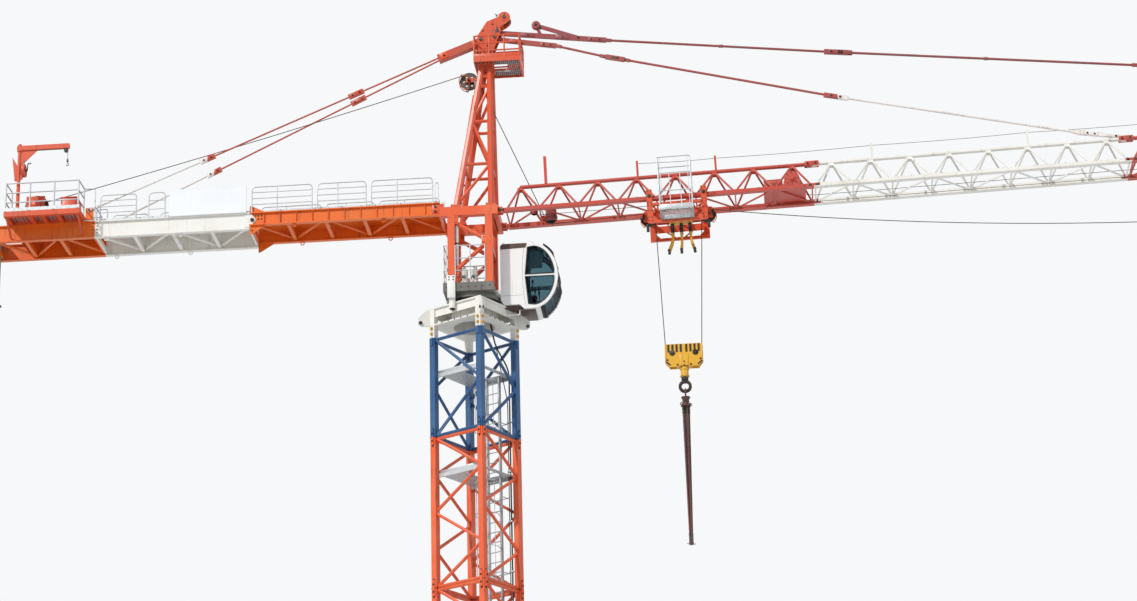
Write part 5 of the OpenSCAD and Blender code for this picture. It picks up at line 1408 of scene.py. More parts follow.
def hanging(name, points, radius, nearRadius):
    # from the trolley to the tip in two lapped halves, each of which draws in to its own end
    half, lap = len(points) // 2, 1 + int(len(points) * 1.1 / (points[-1] - points[0]).length)
    near, far = points[:half + 1 + lap], points[half - lap:]
    pieces = []
    for side, end, part, size, body in (("_near", points[0], near, nearRadius, "trolley"),
                                        ("_far", points[-1], far, radius, "upper_works")):
        shape = bmesh.new()
        tube(shape, part, size, 8)
        piece = newPiece(name + side, shape, ["ropeSteel"], body, 60)
        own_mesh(piece)
        pieces.append(piece)
    return pieces


def makeTravelRopes(kit):
    trolley = level["trolleyX"]
    r = 0.004
    shape = bmesh.new()  # fixed parts: from the winch to the pulleys at the foot and the tip
    for y, far, way in ((-0.16, 0.46, -1), (0.16, 19.28, 1)):
        tube(shape, [(kit["winchX"] + way * 0.02, y, 0.092), (kit["winchX"] + way * 0.3, y, 0.052)]
             + [(kit["winchX"] + (far - kit["winchX"]) * f, y, 0.052) for f in (0.3, 0.6, 1)], r, 6)
        bend = [(far + 0.05 * way * sin(radians(a)), y, 0.002 + 0.05 * cos(radians(a))) for a in range(0, 181, 15)]
        tube(shape, bend, r, 6)
        turned(shape, [(0.008, -0.01), (0.052, -0.01), (0.052, -0.007), (0.044, 0), (0.052, 0.007), (0.052, 0.01),
                       (0.008, 0.01)],
               placeAt((far, y, 0.002), (0, 1, 0)), 32, 1)
        rod(shape, (far, y - 0.03, 0.002), (far, y + 0.03, 0.002), 0.008, 12, 1)
        for s in (-1, 1):
            block(shape, (far - 0.03, y + s * 0.02 - 0.003, -0.03), (far + 0.03, y + s * 0.02 + 0.003, 0.03), 0.003, 2)
    onSlope(shape)
    newPiece("travel_rope_pulleys", shape, ["ropeSteel", "greased", "jibOrange"])
    far, near = 0.46, trolley - 0.385
    points = [onJib(far + (near - far) * k / 12, -0.16, -0.048) for k in range(13)]
    taut("travel_rope_inner", points, r)
    far, near = onJib(19.28, 0.16, -0.048), onJib(trolley + 0.385, 0.16, -0.048)
    hanging("travel_rope", [near + (far - near) * k / 40 for k in range(41)], r, 0.94 * r)
    shape = bmesh.new()  # where the travel ropes are made fast to the trolley
    for x, y in ((-0.385, -0.16), (0.385, 0.16)):
        block(shape, (x - 0.03, y - 0.016, -0.095), (x + 0.03, y + 0.016, -0.032), 0.004, 0,
              jibPlace @ Matrix.Translation((trolley, 0, 0)))
    newPiece("travel_rope_anchors", shape, ["greased"], "trolley")


tieKit = {
    "boltSize": 0.013,
    "outer": ((0.395, 19.286), (1.94, 19.08), (5.172, 18.689), (9.325, 18.228), (16.926, 17.394)),
    "inner": ((0.36, 19.191), (1.231, 19.035), (1.922, 18.823), (2.191, 18.76), (5.13, 18.008), (8.421, 17.263),
              (8.94, 17.171)),
}


def tiePlace(a, b, at, y=0):  # X along the tie, Y across it, at a share of the way
    a, b = Vector((a[0], 0, a[1])), Vector((b[0], 0, b[1]))
    way = (b - a).normalized()
    here = a + (b - a) * at
    here.y = y
    up = Vector((-way.z, 0, way.x)) if way.x > 0 else Vector((way.z, 0, -way.x))
    return Matrix.Translation(here) @ Matrix((way, up.cross(way), up)).transposed().to_4x4()


def joint(shape, place, half, deep, offsets, size, index, metalIndex):  # a pinned or bolted splice on a tie
    for s in (-1, 1):
        block(shape, (-0.1, s * (half + 0.0005), -deep), (0.1, s * (half + 0.006), deep), 0.002, index, place)
        for dx in offsets:
            at = place @ Vector((dx, s * (half + 0.006), 0))
            bolt(shape, at, aim(place, (0, s, 0)), size, metalIndex)


def makeTieDetails(kit):
    shape = bmesh.new()
    outer, inner, size = kit["outer"], kit["inner"], kit["boltSize"]
    joint(shape, tiePlace(outer[1], outer[2], 0.999), 0.022, 0.03, (-0.065, 0.065), size * 1.3, 0, 1)
    joint(shape, tiePlace(outer[2], outer[3], 0.03), 0.022, 0.028, (), size, 0, 1)
    for f in (0.28, 0.6, 0.9):
        joint(shape, tiePlace(outer[0], outer[1], f), 0.015, 0.028, (-0.06, 0.06) if f > 0.8 else (0,), size, 0, 1)
    for s in (-1, 1):  # the lever's eye, its pin and the pin at its far end
        place = placeAt((0.945, s * 0.0265, 19.373), (0, s, 0))
        turned(shape, [(0.02, 0), (0.06, 0), (0.06, 0.005), (0.052, 0.008), (0.02, 0.008), (0.02, 0)], place, 32, 0)
        turned(shape, [(0, 0.014), (0.014, 0.014), (0.018, 0.01), (0.018, -0.002), (0, -0.002)], place, 20, 1)
        bolt(shape, (1.541, s * 0.014, 19.143), (0, s, 0), 0.017, 1)
        bolt(shape, (1.01, s * 0.014, 19.325), (0, s, 0), 0.013, 1)
        bolt(shape, (16.926, s * 0.0245, 17.394), (0, s, 0), 0.016, 1)
    for k in range(1, 4):
        place = tiePlace(outer[k], outer[k + 1], 0.5)
        block(shape, (-0.03, -0.0185, -0.0185), (0.03, 0.0185, 0.0185), 0.003, 0, place)
    newPiece("outer_tie_fittings", shape, ["tieOuter", "greased"])
    shape = bmesh.new()
    joint(shape, tiePlace(inner[3], inner[4], 0.999), 0.022, 0.028, (-0.065, 0.065), size * 1.3, 0, 1)
    for f in (0.35, 0.85):
        joint(shape, tiePlace(inner[0], inner[1], f), 0.015, 0.028, (0,) if f < 0.5 else (-0.05, 0.05), size, 0, 1)
    place = tiePlace(inner[2], inner[3], 0.5)
    for s in (-1, 1):  # turnbuckle: locknuts and threaded ends
        at = place @ Vector((s * 0.14, 0, 0))
        way = aim(place, (s, 0, 0))
        rod(shape, at, at + way * 0.022, 0.027, 6, 1)
        for k in range(7):
            rod(shape, at + way * (0.028 + 0.008 * k), at + way * (0.033 + 0.008 * k), 0.0182, 12, 1)
        block(shape, (-0.055, s * 0.0275 - 0.001, -0.014), (0.055, s * 0.0275 + 0.001, 0.014), 0.0005, 1, place)
    joint(shape, tiePlace(inner[5], inner[6], 0.35), 0.02, 0.024, (-0.05, 0.05), size, 0, 1)
    for s in (-1, 1):
        bolt(shape, (8.94, s * 0.0245, 17.171), (0, s, 0), 0.016, 1)
    newPiece("inner_tie_fittings", shape, ["tieInner", "greased"])
    shape = bmesh.new()
    a, b = (-0.455, 18.93), (-5.345, 16.75)
    for s in (-1, 1):
        start, finishAt = Vector((a[0], s * 0.04, a[1])), Vector((b[0], s * 0.35, b[1]))
        way = (finishAt - start).normalized()
        side = Vector((0, 0, 1)).cross(way).normalized()
        for f in (0.238, 0.665):
            centre = start + (finishAt - start) * f
            place = Matrix.Translation(centre) @ Matrix((way, side, way.cross(side))).transposed().to_4x4()
            for q in (-1, 1):
                block(shape, (-0.09, q * 0.0165, -0.026), (0.09, q * 0.0215, 0.026), 0.002, 0, place)
                for dx in (-0.055, 0.055):
                    bolt(shape, place @ Vector((dx, q * 0.0215, 0)), side * q, size * 1.1, 1)
        for q in (-1, 1):
            bolt(shape, finishAt + Vector((0, q * 0.0225, 0)), (0, q, 0), 0.015, 1)
    for f in (0.12, 0.86):
        place = tiePlace((0.165, 19.167), a, f)
        for q in (-1, 1):
            bolt(shape, place @ Vector((0, q * 0.0565, 0)), aim(place, (0, q, 0)), 0.018, 1)
            block(shape, (-0.06, q * 0.059 - 0.0025, -0.048), (0.06, q * 0.059 + 0.0025, 0.048), 0.002, 2, place)
    newPiece("counter_tie_fittings", shape, ["tieCounter", "greased", "headOrange"])


makeJibJoints(jibKit)
makeLifeline(jibKit)
makeJibCables(jibKit)
makeTrolleyWinch(jibKit)
makeTip(jibKit)
makeTravelRopes(jibKit)
makeTieDetails(tieKit)
print("jib and ties made")


counterKit = {
    "y": 0.35, "top": 16.58, "borderX": -5.255, "innerDeep": 0.19, "outerDeep": 0.245, "railHeight": 0.39,
    "innerRails": ((-3.05, -2.19), (-2.13, -1.435), (-1.375, -0.505)),
    "outerRails": ((-5.19, -4.665), (-4.505, -4.26)), "tube": 0.0085,
}
winchKit = {
    "x": (-6.465, -5.4), "y": 0.71, "deck": 16.655, "drumX": -6.13, "drumZ": 16.905, "drumRadius": 0.12,
    "davitX": -6.288, "davitY": -0.65, "railHeight": 0.43,
}


def makeCounterRails(kit):  # rounded tube frames, each with an inner hoop
    shape = bmesh.new()
    base, h, r = kit["top"], kit["railHeight"], kit["tube"]
    for s in (-1, 1):
        y = s * (kit["y"] + 0.027)
        for x0, x1 in kit["innerRails"] + kit["outerRails"]:
            a, b, z = x0 + 0.008, x1 - 0.008, base + h - 0.012
            tube(shape, rounded([(a, y, base + 0.002), (a, y, z), (b, y, z), (b, y, base + 0.002)], 0.06, 5), r, 8)
            for f in (0.3, 0.53, 0.76) if x1 - x0 > 0.5 else (0.34, 0.67):
                rod(shape, (a, y, base + h * f), (b, y, base + h * f), r * 0.75, 8)
            if x1 - x0 > 0.6:
                m = a + (b - a) * 0.42
                rod(shape, (m, y, base + 0.002), (m, y, z), r * 0.85, 8)
            for x in (a, b):
                rod(shape, (x, y - s * 0.004, base - 0.014), (x, y - s * 0.004, base + 0.03), r * 1.5, 8)
        hoop = [(-0.48, y, base + 0.002), (-0.48, y, base + 0.3), (-0.435, y - s * 0.02, base + 0.3),
                (-0.435, y - s * 0.02, base + 0.002)]
        tube(shape, rounded(hoop, 0.02, 4), r * 0.8, 8)
    piece = newPiece("counter_jib_rail_tubes", shape, ["galvanized"])
    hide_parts("counter_jib_railings")


def makeGirderDetails(kit):
    shape = bmesh.new()
    top, y = kit["top"], kit["y"]
    for s in (-1, 1):  # lifting rings under the girders
        for x, deep in ((-1.2, kit["innerDeep"]), (-2.45, kit["innerDeep"]), (-4.045, kit["outerDeep"]),
                        (-5.095, kit["outerDeep"])):
            index = 1 if x < -3.1 else 0
            low = top - deep
            ring = [(x + a, s * y, low - 0.022 + b) for a, b in arc(0.024, 0, 360, 14)[:-1]]
            tube(shape, ring, 0.0075, 8, index, True)
            block(shape, (x - 0.026, s * y - 0.009, low - 0.008), (x + 0.026, s * y + 0.009, low + 0.002), 0.001, index)
        for k in range(11):  # web stiffeners
            x = -0.62 - 0.225 * k
            block(shape, (x - 0.003, s * (y + 0.0055), top - kit["innerDeep"] + 0.014),
                  (x + 0.003, s * (y + 0.0275), top - 0.014))
    newPiece("girder_rings", shape, ["girderOrange", "white"])
    shape = bmesh.new()
    for s in (-1, 1):  # bolted joint of the two girder parts, with the white eye plate
        face = s * (y + 0.006)
        places = [(-3.045 + 0.045 * i, -0.045 - 0.05 * k) for i in range(4) for k in range(2)]
        for x, dz in places + [(-3.035, 0.07), (-3.035, -0.26)]:
            bolt(shape, (x, face, top + dz), (0, s, 0), 0.011, 1)
        outline = [(-3.14, 0.02), (-3.14, -0.21), (-3.08, -0.21), (-3, -0.14), (-2.985, -0.11),
                   (-3, -0.08), (-3.08, 0.02)]
        place = Matrix.Translation((0, face + (0.01 if s > 0 else 0), top)) @ sideways
        plate(shape, outline, 0.01, place, 0, 0.001)
        rod(shape, (-3.035, face, top - 0.11), (-3.035, face + s * 0.022, top - 0.11), 0.02, 20, 1)
        rod(shape, (-3.035, face + s * 0.02, top - 0.11), (-3.035, face + s * 0.028, top - 0.11), 0.028, 20, 1)
        for dz in (-0.02, -0.07, -0.12, -0.17, -0.22):
            bolt(shape, (kit["borderX"] + 0.03, face, top + dz), (0, s, 0), 0.008, 1)
            bolt(shape, (kit["borderX"] - 0.03, face, top + dz), (0, s, 0), 0.008, 1)
        # fork and pins
        block(shape, (-0.52, face - s * 0.003, top - 0.165), (-0.36, face + s * 0.011, top - 0.02), 0.003, 2)
        for z in (top - 0.055, top - 0.13):
            rod(shape, (-0.48, face, z), (-0.48, face + s * 0.026, z), 0.018, 18, 1)
    newPiece("girder_joints", shape, ["white", "greased", "headOrange"])
    shape = bmesh.new()
    for k in range(92):  # grating bars along the walkway
        x = -0.45 - 0.0515 * k
        block(shape, (x - 0.0015, -0.312, top - 0.001), (x + 0.0015, 0.312, top + 0.01), 0)
    for yy in (-0.31, -0.155, 0, 0.155, 0.31):
        block(shape, (-5.2, yy - 0.002, top - 0.001), (-0.43, yy + 0.002, top + 0.008), 0)
    for s in (-1, 1):
        block(shape, (-5.2, s * 0.318 - 0.002, top), (-0.43, s * 0.318 + 0.002, top + 0.05), 0)
    newPiece("walkway_grating", shape, ["galvanized"])
    shape = bmesh.new()
    x0, x1, yb, z0, z1 = -4.205, -3.12, -0.3993, 16.58, 16.98
    tube(shape, rounded([(x0 + 0.005, yb + 0.007, z0 + 0.005), (x1 - 0.005, yb + 0.007, z0 + 0.005),
                         (x1 - 0.005, yb + 0.007, z1 - 0.005),
                         (x0 + 0.005, yb + 0.007, z1 - 0.005)], 0.012, 4, True), 0.0085, 8, 0, True)
    for x in (-4, -3.66, -3.32):
        block(shape, (x - 0.012, yb + 0.014, z0), (x + 0.012, yb + 0.036, z1 - 0.02), 0.002, 1)
        rod(shape, (x, yb + 0.03, z1 - 0.06), (x, -0.3, z0 + 0.01), 0.008, 8, 1)
    for x in [x0 + 0.035 + 0.1268 * k for k in range(9)]:
        for z in (z0 + 0.025, z1 - 0.025):
            rod(shape, (x, yb, z), (x, yb - 0.0025, z), 0.005, 10, 0)
    newPiece("board_frame", shape, ["board", "galvanized"])


def makeWeights():  # lifting loops, hanger plates and tie rods of the concrete blocks
    shape = bmesh.new()
    for i in range(4):
        x = -6.75 - 0.215 * i - 0.1
        for y in (-0.18, 0.18):
            loop = [(x, y - 0.045, 16.66), (x, y - 0.045, 16.7), (x, y + 0.045, 16.7), (x, y + 0.045, 16.66)]
            tube(shape, rounded(loop, 0.035, 5), 0.008, 8)
        for y in (-0.398, 0.398):
            block(shape, (x - 0.075, y - 0.006, 16.5815), (x + 0.075, y + 0.006, 16.64), 0.002)
            for dx in (-0.05, 0.05):
                bolt(shape, (x + dx, y + copysign(0.006, y), 16.612), (0, copysign(1, y), 0), 0.009)
    for y in (-0.2, 0.2):
        rod(shape, (-7.64, y, 15.6), (-6.705, y, 15.6), 0.01, 10)
        for x in (-7.64, -6.712):
            bolt(shape, (x, y, 15.6), (copysign(1, x + 7), 0, 0), 0.02)
    newPiece("counterweight_fittings", shape, ["greased"])


def makeDrum(kit):
    shape = bmesh.new()
    x, z, r = kit["drumX"], kit["drumZ"], kit["drumRadius"]
    profile = [(r - 0.001, -0.199)]
    for k in range(28):
        y = -0.198 + 0.0127 * k
        profile += [(r + 0.001, y), (r + 0.0085, y + 0.0035), (r + 0.0085, y + 0.009)]
    profile += [(r - 0.001, 0.159)]
    turned(shape, profile, placeAt((x, 0, z), (0, 1, 0)), 48, 0)
    newPiece("hoist_drum_windings", shape, ["ropeSteel"], "drum")
    shape = bmesh.new()
    for y, s in ((-0.215, -1), (0.175, 1)):
        place = placeAt((x, y, z), (0, s, 0))
        turned(shape, [(0.165, 0), (0.17, 0.003), (0.17, 0.006), (0.155, 0.006), (0.15, 0)], place, 48, 0)
        for k in range(6):
            matrix = place @ Matrix.Rotation(tau * k / 6, 4, "Z")
            block(shape, (0.045, -0.004, -0.001), (0.15, 0.004, 0.008), 0.001, 0, matrix)
            bolt(shape, matrix @ Vector((0.06, 0.03, 0)), (0, s, 0), 0.01)
    newPiece("hoist_drum_ribs", shape, ["greased"], "drum")


def makeWinchParts(kit):
    shape = bmesh.new()
    x, z, deck = kit["drumX"], kit["drumZ"], kit["deck"]
    for y, s in ((-0.3, -1), (0.21, 1)):  # bearing housings
        place = placeAt((x, y, z), (0, s, 0))
        turned(shape, [(0, 0.034), (0.03, 0.034), (0.04, 0.028), (0.062, 0.024), (0.074, 0.016), (0.074, 0), (0, 0)],
               place, 32, 0)
        for px, py in circle(0.064, 8):
            bolt(shape, place @ Vector((px, py, 0.02)), (0, s, 0), 0.008, 1)
        for dx in (-0.095, 0.095):
            bolt(shape, (x + dx, y, deck + 0.03), (0, s, 0), 0.012, 1)
    block(shape, (x - 0.12, 0.212, deck), (x + 0.1, 0.33, deck + 0.2), 0.014, 0)   # gearbox
    block(shape, (x + 0.06, 0.212, deck), (x + 0.2, 0.33, deck + 0.15), 0.014, 0)
    for k in range(4):
        block(shape, (x - 0.1 + 0.045 * k, 0.328, deck + 0.02), (x - 0.092 + 0.045 * k, 0.34, deck + 0.18), 0.001, 0)
    newPiece("hoist_gearbox", shape, ["headOrange", "greased"])
    shape = bmesh.new()  # motor with cooling ribs, fan cowl and terminal box
    profile = [(0, 0), (0.07, 0), (0.074, 0.004), (0.074, 0.02)]
    for k in range(12):
        profile += [(0.064, 0.022 + 0.014 * k), (0.074, 0.024 + 0.014 * k), (0.074, 0.029 + 0.014 * k),
                    (0.064, 0.031 + 0.014 * k)]
    profile += [(0.064, 0.195), (0.076, 0.198), (0.076, 0.25), (0.058, 0.27), (0, 0.274)]
    turned(shape, profile, placeAt((x + 0.205, -0.222, deck + 0.105), (0, 1, 0)), 40, 0)
    block(shape, (x + 0.165, -0.14, deck + 0.17), (x + 0.235, -0.04, deck + 0.215), 0.006, 0)
    for y in (-0.19, -0.03):
        block(shape, (x + 0.14, y - 0.012, deck), (x + 0.27, y + 0.012, deck + 0.04), 0.003, 0)
    tube(shape, rounded([(x + 0.235, -0.09, deck + 0.195), (x + 0.3, -0.09, deck + 0.195),
                         (x + 0.33, -0.09, deck + 0.02),
                         (x + 0.375, -0.12, deck + 0.02), (x + 0.375, -0.12, deck + 0.12)], 0.03, 4), 0.008, 8, 1)
    profile = [(0, 0), (0.045, 0.004), (0.075, 0.02), (0.092, 0.05), (0.092, 0.085), (0, 0.085)]
    turned(shape, profile, placeAt((x + 0.075, -0.395, deck + 0.11), (0, 1, 0)), 36, 0)
    newPiece("hoist_motor", shape, ["plasticGrey", "rubber"])
    shape = bmesh.new()  # switch cabinet: doors, hinges, handles, vents and rain roof
    x0, x1, y0, y1, top = -5.765, -5.555, -0.3, 0.02, deck + 0.335
    block(shape, (x0 - 0.012, y0 - 0.012, top - 0.002), (x1 + 0.012, y1 + 0.012, top + 0.01), 0.003, 0)
    for a, b in ((y0 + 0.008, -0.143), (-0.137, y1 - 0.008)):
        block(shape, (x1 - 0.001, a, deck + 0.02), (x1 + 0.006, b, top - 0.014), 0.003, 0)
    block(shape, (x0 + 0.008, y0 - 0.006, deck + 0.02), (x1 - 0.008, y0 + 0.001, top - 0.014), 0.003, 0)
    for z0 in (deck + 0.07, deck + 0.27):
        rod(shape, (x0 + 0.012, y0 - 0.009, z0 - 0.018), (x0 + 0.012, y0 - 0.009, z0 + 0.018), 0.005, 8, 1)
    block(shape, (x1 - 0.04, y0 - 0.013, deck + 0.15), (x1 - 0.028, y0 - 0.006, deck + 0.19), 0.002, 1)
    for k in range(6):
        block(shape, (x0 + 0.05, y0 - 0.0085, deck + 0.05 + 0.014 * k),
              (x1 - 0.05, y0 - 0.0055, deck + 0.056 + 0.014 * k), 0, 1)
    newPiece("winch_cabinet_doors", shape, ["headOrange", "greased"])


def makeWinchDeck(kit):
    shape = bmesh.new()
    (x0, x1), y, deck, h = kit["x"], kit["y"], kit["deck"], kit["railHeight"]
    for s in (-1, 1):
        yy = s * (y - 0.015)
        a, b, z = x0 + 0.02, x1 - 0.02, deck + h - 0.008
        for px in (a, a + (b - a) / 3, a + (b - a) * 2 / 3, b):
            rod(shape, (px, yy, deck), (px, yy, z), 0.0115, 10)
            rod(shape, (px, yy, deck), (px, yy, deck + 0.008), 0.024, 12)
        for dz in (0, -h / 3, -h * 2 / 3):
            rod(shape, (a, yy, z + dz), (b, yy, z + dz), 0.0095, 8)
        block(shape, (x0, s * (y - 0.002) - 0.002, deck), (x1, s * (y - 0.002) + 0.002, deck + 0.05), 0)
    for px in (x0 + 0.02, x1 - 0.02):  # end rails, open over the walkway
        for s in (-1, 1):
            for dz in (0, -h / 3, -h * 2 / 3):
                rod(shape, (px, s * (y - 0.015), deck + h - 0.008 + dz), (px, s * 0.37, deck + h - 0.008 + dz), 0.0095,
                    8)
            rod(shape, (px, s * 0.37, deck), (px, s * 0.37, deck + h - 0.008), 0.0115, 10)
    for s in (-1, 1):  # side step at the deck's end
        tube(shape, rounded([(x1 - 0.01, s * 0.395, deck - 0.07), (x1 + 0.14, s * 0.377, deck - 0.07),
                             (x1 + 0.14, s * 0.377, deck + h - 0.02),
                             (x1 - 0.01, s * 0.395, deck + h - 0.02)], 0.04, 4), 0.0085, 8)
    newPiece("winch_deck_rails", shape, ["galvanized"])
    shape = bmesh.new()
    for k in range(19):  # pressed gratings seen from below
        px = x0 + 0.075 + 0.052 * k
        for a, b in ((-y + 0.06, -0.385), (0.385, y - 0.06)):
            block(shape, (px, a, deck - 0.026), (px + 0.03, b, deck - 0.0125), 0)
    newPiece("winch_deck_grating", shape, ["galvanized"])


def makeDavit(kit):
    shape = bmesh.new()
    x, y, deck = kit["davitX"], kit["davitY"], kit["deck"]
    wheel = placeAt((x + 0.052, y, deck + 0.625), (1, 0, 0))
    for low in (-0.004, 0.036):
        turned(shape, [(0.076, low), (0.094, low), (0.094, low + 0.004), (0.076, low + 0.004), (0.076, low)], wheel, 36,
               0)
    for k in range(5):
        matrix = wheel @ Matrix.Rotation(tau * k / 5, 4, "Z")
        block(shape, (0.014, -0.007, 0.035), (0.08, 0.007, 0.043), 0.001, 0, matrix)
    turned(shape, [(0, 0.064), (0.018, 0.062), (0.022, 0.036), (0, 0.034)], wheel, 24, 1)
    tube(shape, [(x + 0.1, y, deck + 0.625), (x + 0.118, y, deck + 0.625), (x + 0.118, y + 0.01, deck + 0.735)],
         0.007, 8, 1)
    rod(shape, (x + 0.118, y + 0.01, deck + 0.735), (x + 0.165, y + 0.01, deck + 0.735), 0.009, 10, 1)
    for z in (deck + 0.02, deck + 0.93):
        turned(shape, collar(0.0245, 0.036, 0, 0.016, 0.002), (x, y, z), 28, 0)
    for dx, dy in circle(0.05, 4, 0.5):
        block(shape, (x + dx - 0.004, y + dy - 0.004, deck), (x + dx + 0.004, y + dy + 0.004, deck + 0.03))
    block(shape, (x - 0.07, y - 0.055, deck), (x + 0.07, y + 0.055, deck + 0.01), 0.002, 0)
    for dx in (-0.055, 0.055):
        for dy in (-0.04, 0.04):
            bolt(shape, (x + dx, y + dy, deck + 0.01), (0, 0, 1), 0.01, 1)
    turned(shape, [(0, 0.01), (0.02, 0.008), (0.026, 0), (0.026, -0.01), (0, -0.01)], (x, y, deck + 1.022), 24, 0)
    block(shape, (x + 0.7, y - 0.028, deck + 0.929), (x + 0.706, y + 0.028, deck + 1.001), 0.001, 0)
    newPiece("davit_fittings", shape, ["headOrange", "greased"])
    shape = bmesh.new()  # rope of the small hoist, its pulley and hook
    px = x + 0.66
    turned(shape, [(0.006, -0.009), (0.032, -0.009), (0.032, -0.006), (0.024, 0), (0.032, 0.006), (0.032, 0.009),
                   (0.006, 0.009)],
           placeAt((px, y, deck + 0.9), (0, 1, 0)), 28, 1)
    for s in (-1, 1):
        block(shape, (px - 0.012, y + s * 0.014 - 0.002, deck + 0.885),
              (px + 0.012, y + s * 0.014 + 0.002, deck + 0.935), 0.001, 1)
    path = [(x + 0.07, y, deck + 0.7), (x + 0.085, y, deck + 0.86), (x + 0.12, y, deck + 0.922), (px, y, deck + 0.925)]
    path = rounded(path, 0.03, 4)
    path += [(px + 0.025 * sin(radians(a)), y, deck + 0.9 + 0.025 * cos(radians(a))) for a in range(15, 91, 15)]
    path += [(px + 0.025, y, deck + 0.76)]
    tube(shape, path, 0.0035, 6, 0)
    rod(shape, (px + 0.025, y, deck + 0.765), (px + 0.025, y, deck + 0.725), 0.012, 14, 1, 0.016)
    bend = [polar(0.017, a, px + 0.025, deck + 0.684) for a in range(75, -190, -20)]
    hookPath = [(px + 0.025, y, deck + 0.728), (px + 0.025, y, deck + 0.705)] + [(hx, y, hz) for hx, hz in bend]
    tube(shape, hookPath, 0.005, 8, 1)
    newPiece("davit_hoist", shape, ["ropeSteel", "greased"])


makeCounterRails(counterKit)
makeGirderDetails(counterKit)
makeWeights()
makeDrum(winchKit)
makeWinchParts(winchKit)
makeWinchDeck(winchKit)
makeDavit(winchKit)
print("counter-jib and winch made")


trolleyKit = {
    "x": level["trolleyX"], "plateY": 0.366, "plateThick": 0.01, "reach": 0.375, "wheelZ": 0.015,
    "sheaveX": 0.417, "sheaveZ": -0.19, "sheaveGroove": 0.088, "guardRadius": 0.108,
    "basket": (-0.23, 0.23, -0.766, -0.376), "basketFloor": -0.345, "basketTop": 0.425,
}
trolleyPlace = jibPlace @ Matrix.Translation((trolleyKit["x"], 0, 0))


def onTrolley(shape):
    bmesh.ops.transform(shape, matrix=trolleyPlace, verts=shape.verts)


def makeTrolleyWheels(kit):
    shape = bmesh.new()
    for s in (-1, 1):
        outer = s * (kit["plateY"] + kit["plateThick"])
        for x in (-kit["reach"], kit["reach"]):
            place = placeAt((x, outer, kit["wheelZ"]), (0, s, 0))
            turned(shape, [(0, 0.02), (0.012, 0.02), (0.016, 0.016), (0.016, 0.009), (0.026, 0.008), (0.026, 0),
                           (0, 0)],
                   place, 28, 0)
            place = placeAt((x, s * 0.3662, kit["wheelZ"]), (0, -s, 0))
            turned(shape, [(0.034, 0), (0.042, 0.0005), (0.042, 0.0035), (0.034, 0.0045), (0.034, 0)], place, 32, 0)
            for z in (0.085, -0.08, -0.12, -0.2, -0.3, -0.35):
                for dx in (-0.024, 0.024):
                    bolt(shape, (x + dx, outer, z), (0, s, 0), 0.008)
    onTrolley(shape)
    newPiece("trolley_wheel_hubs", shape, ["greased"], "trolley")


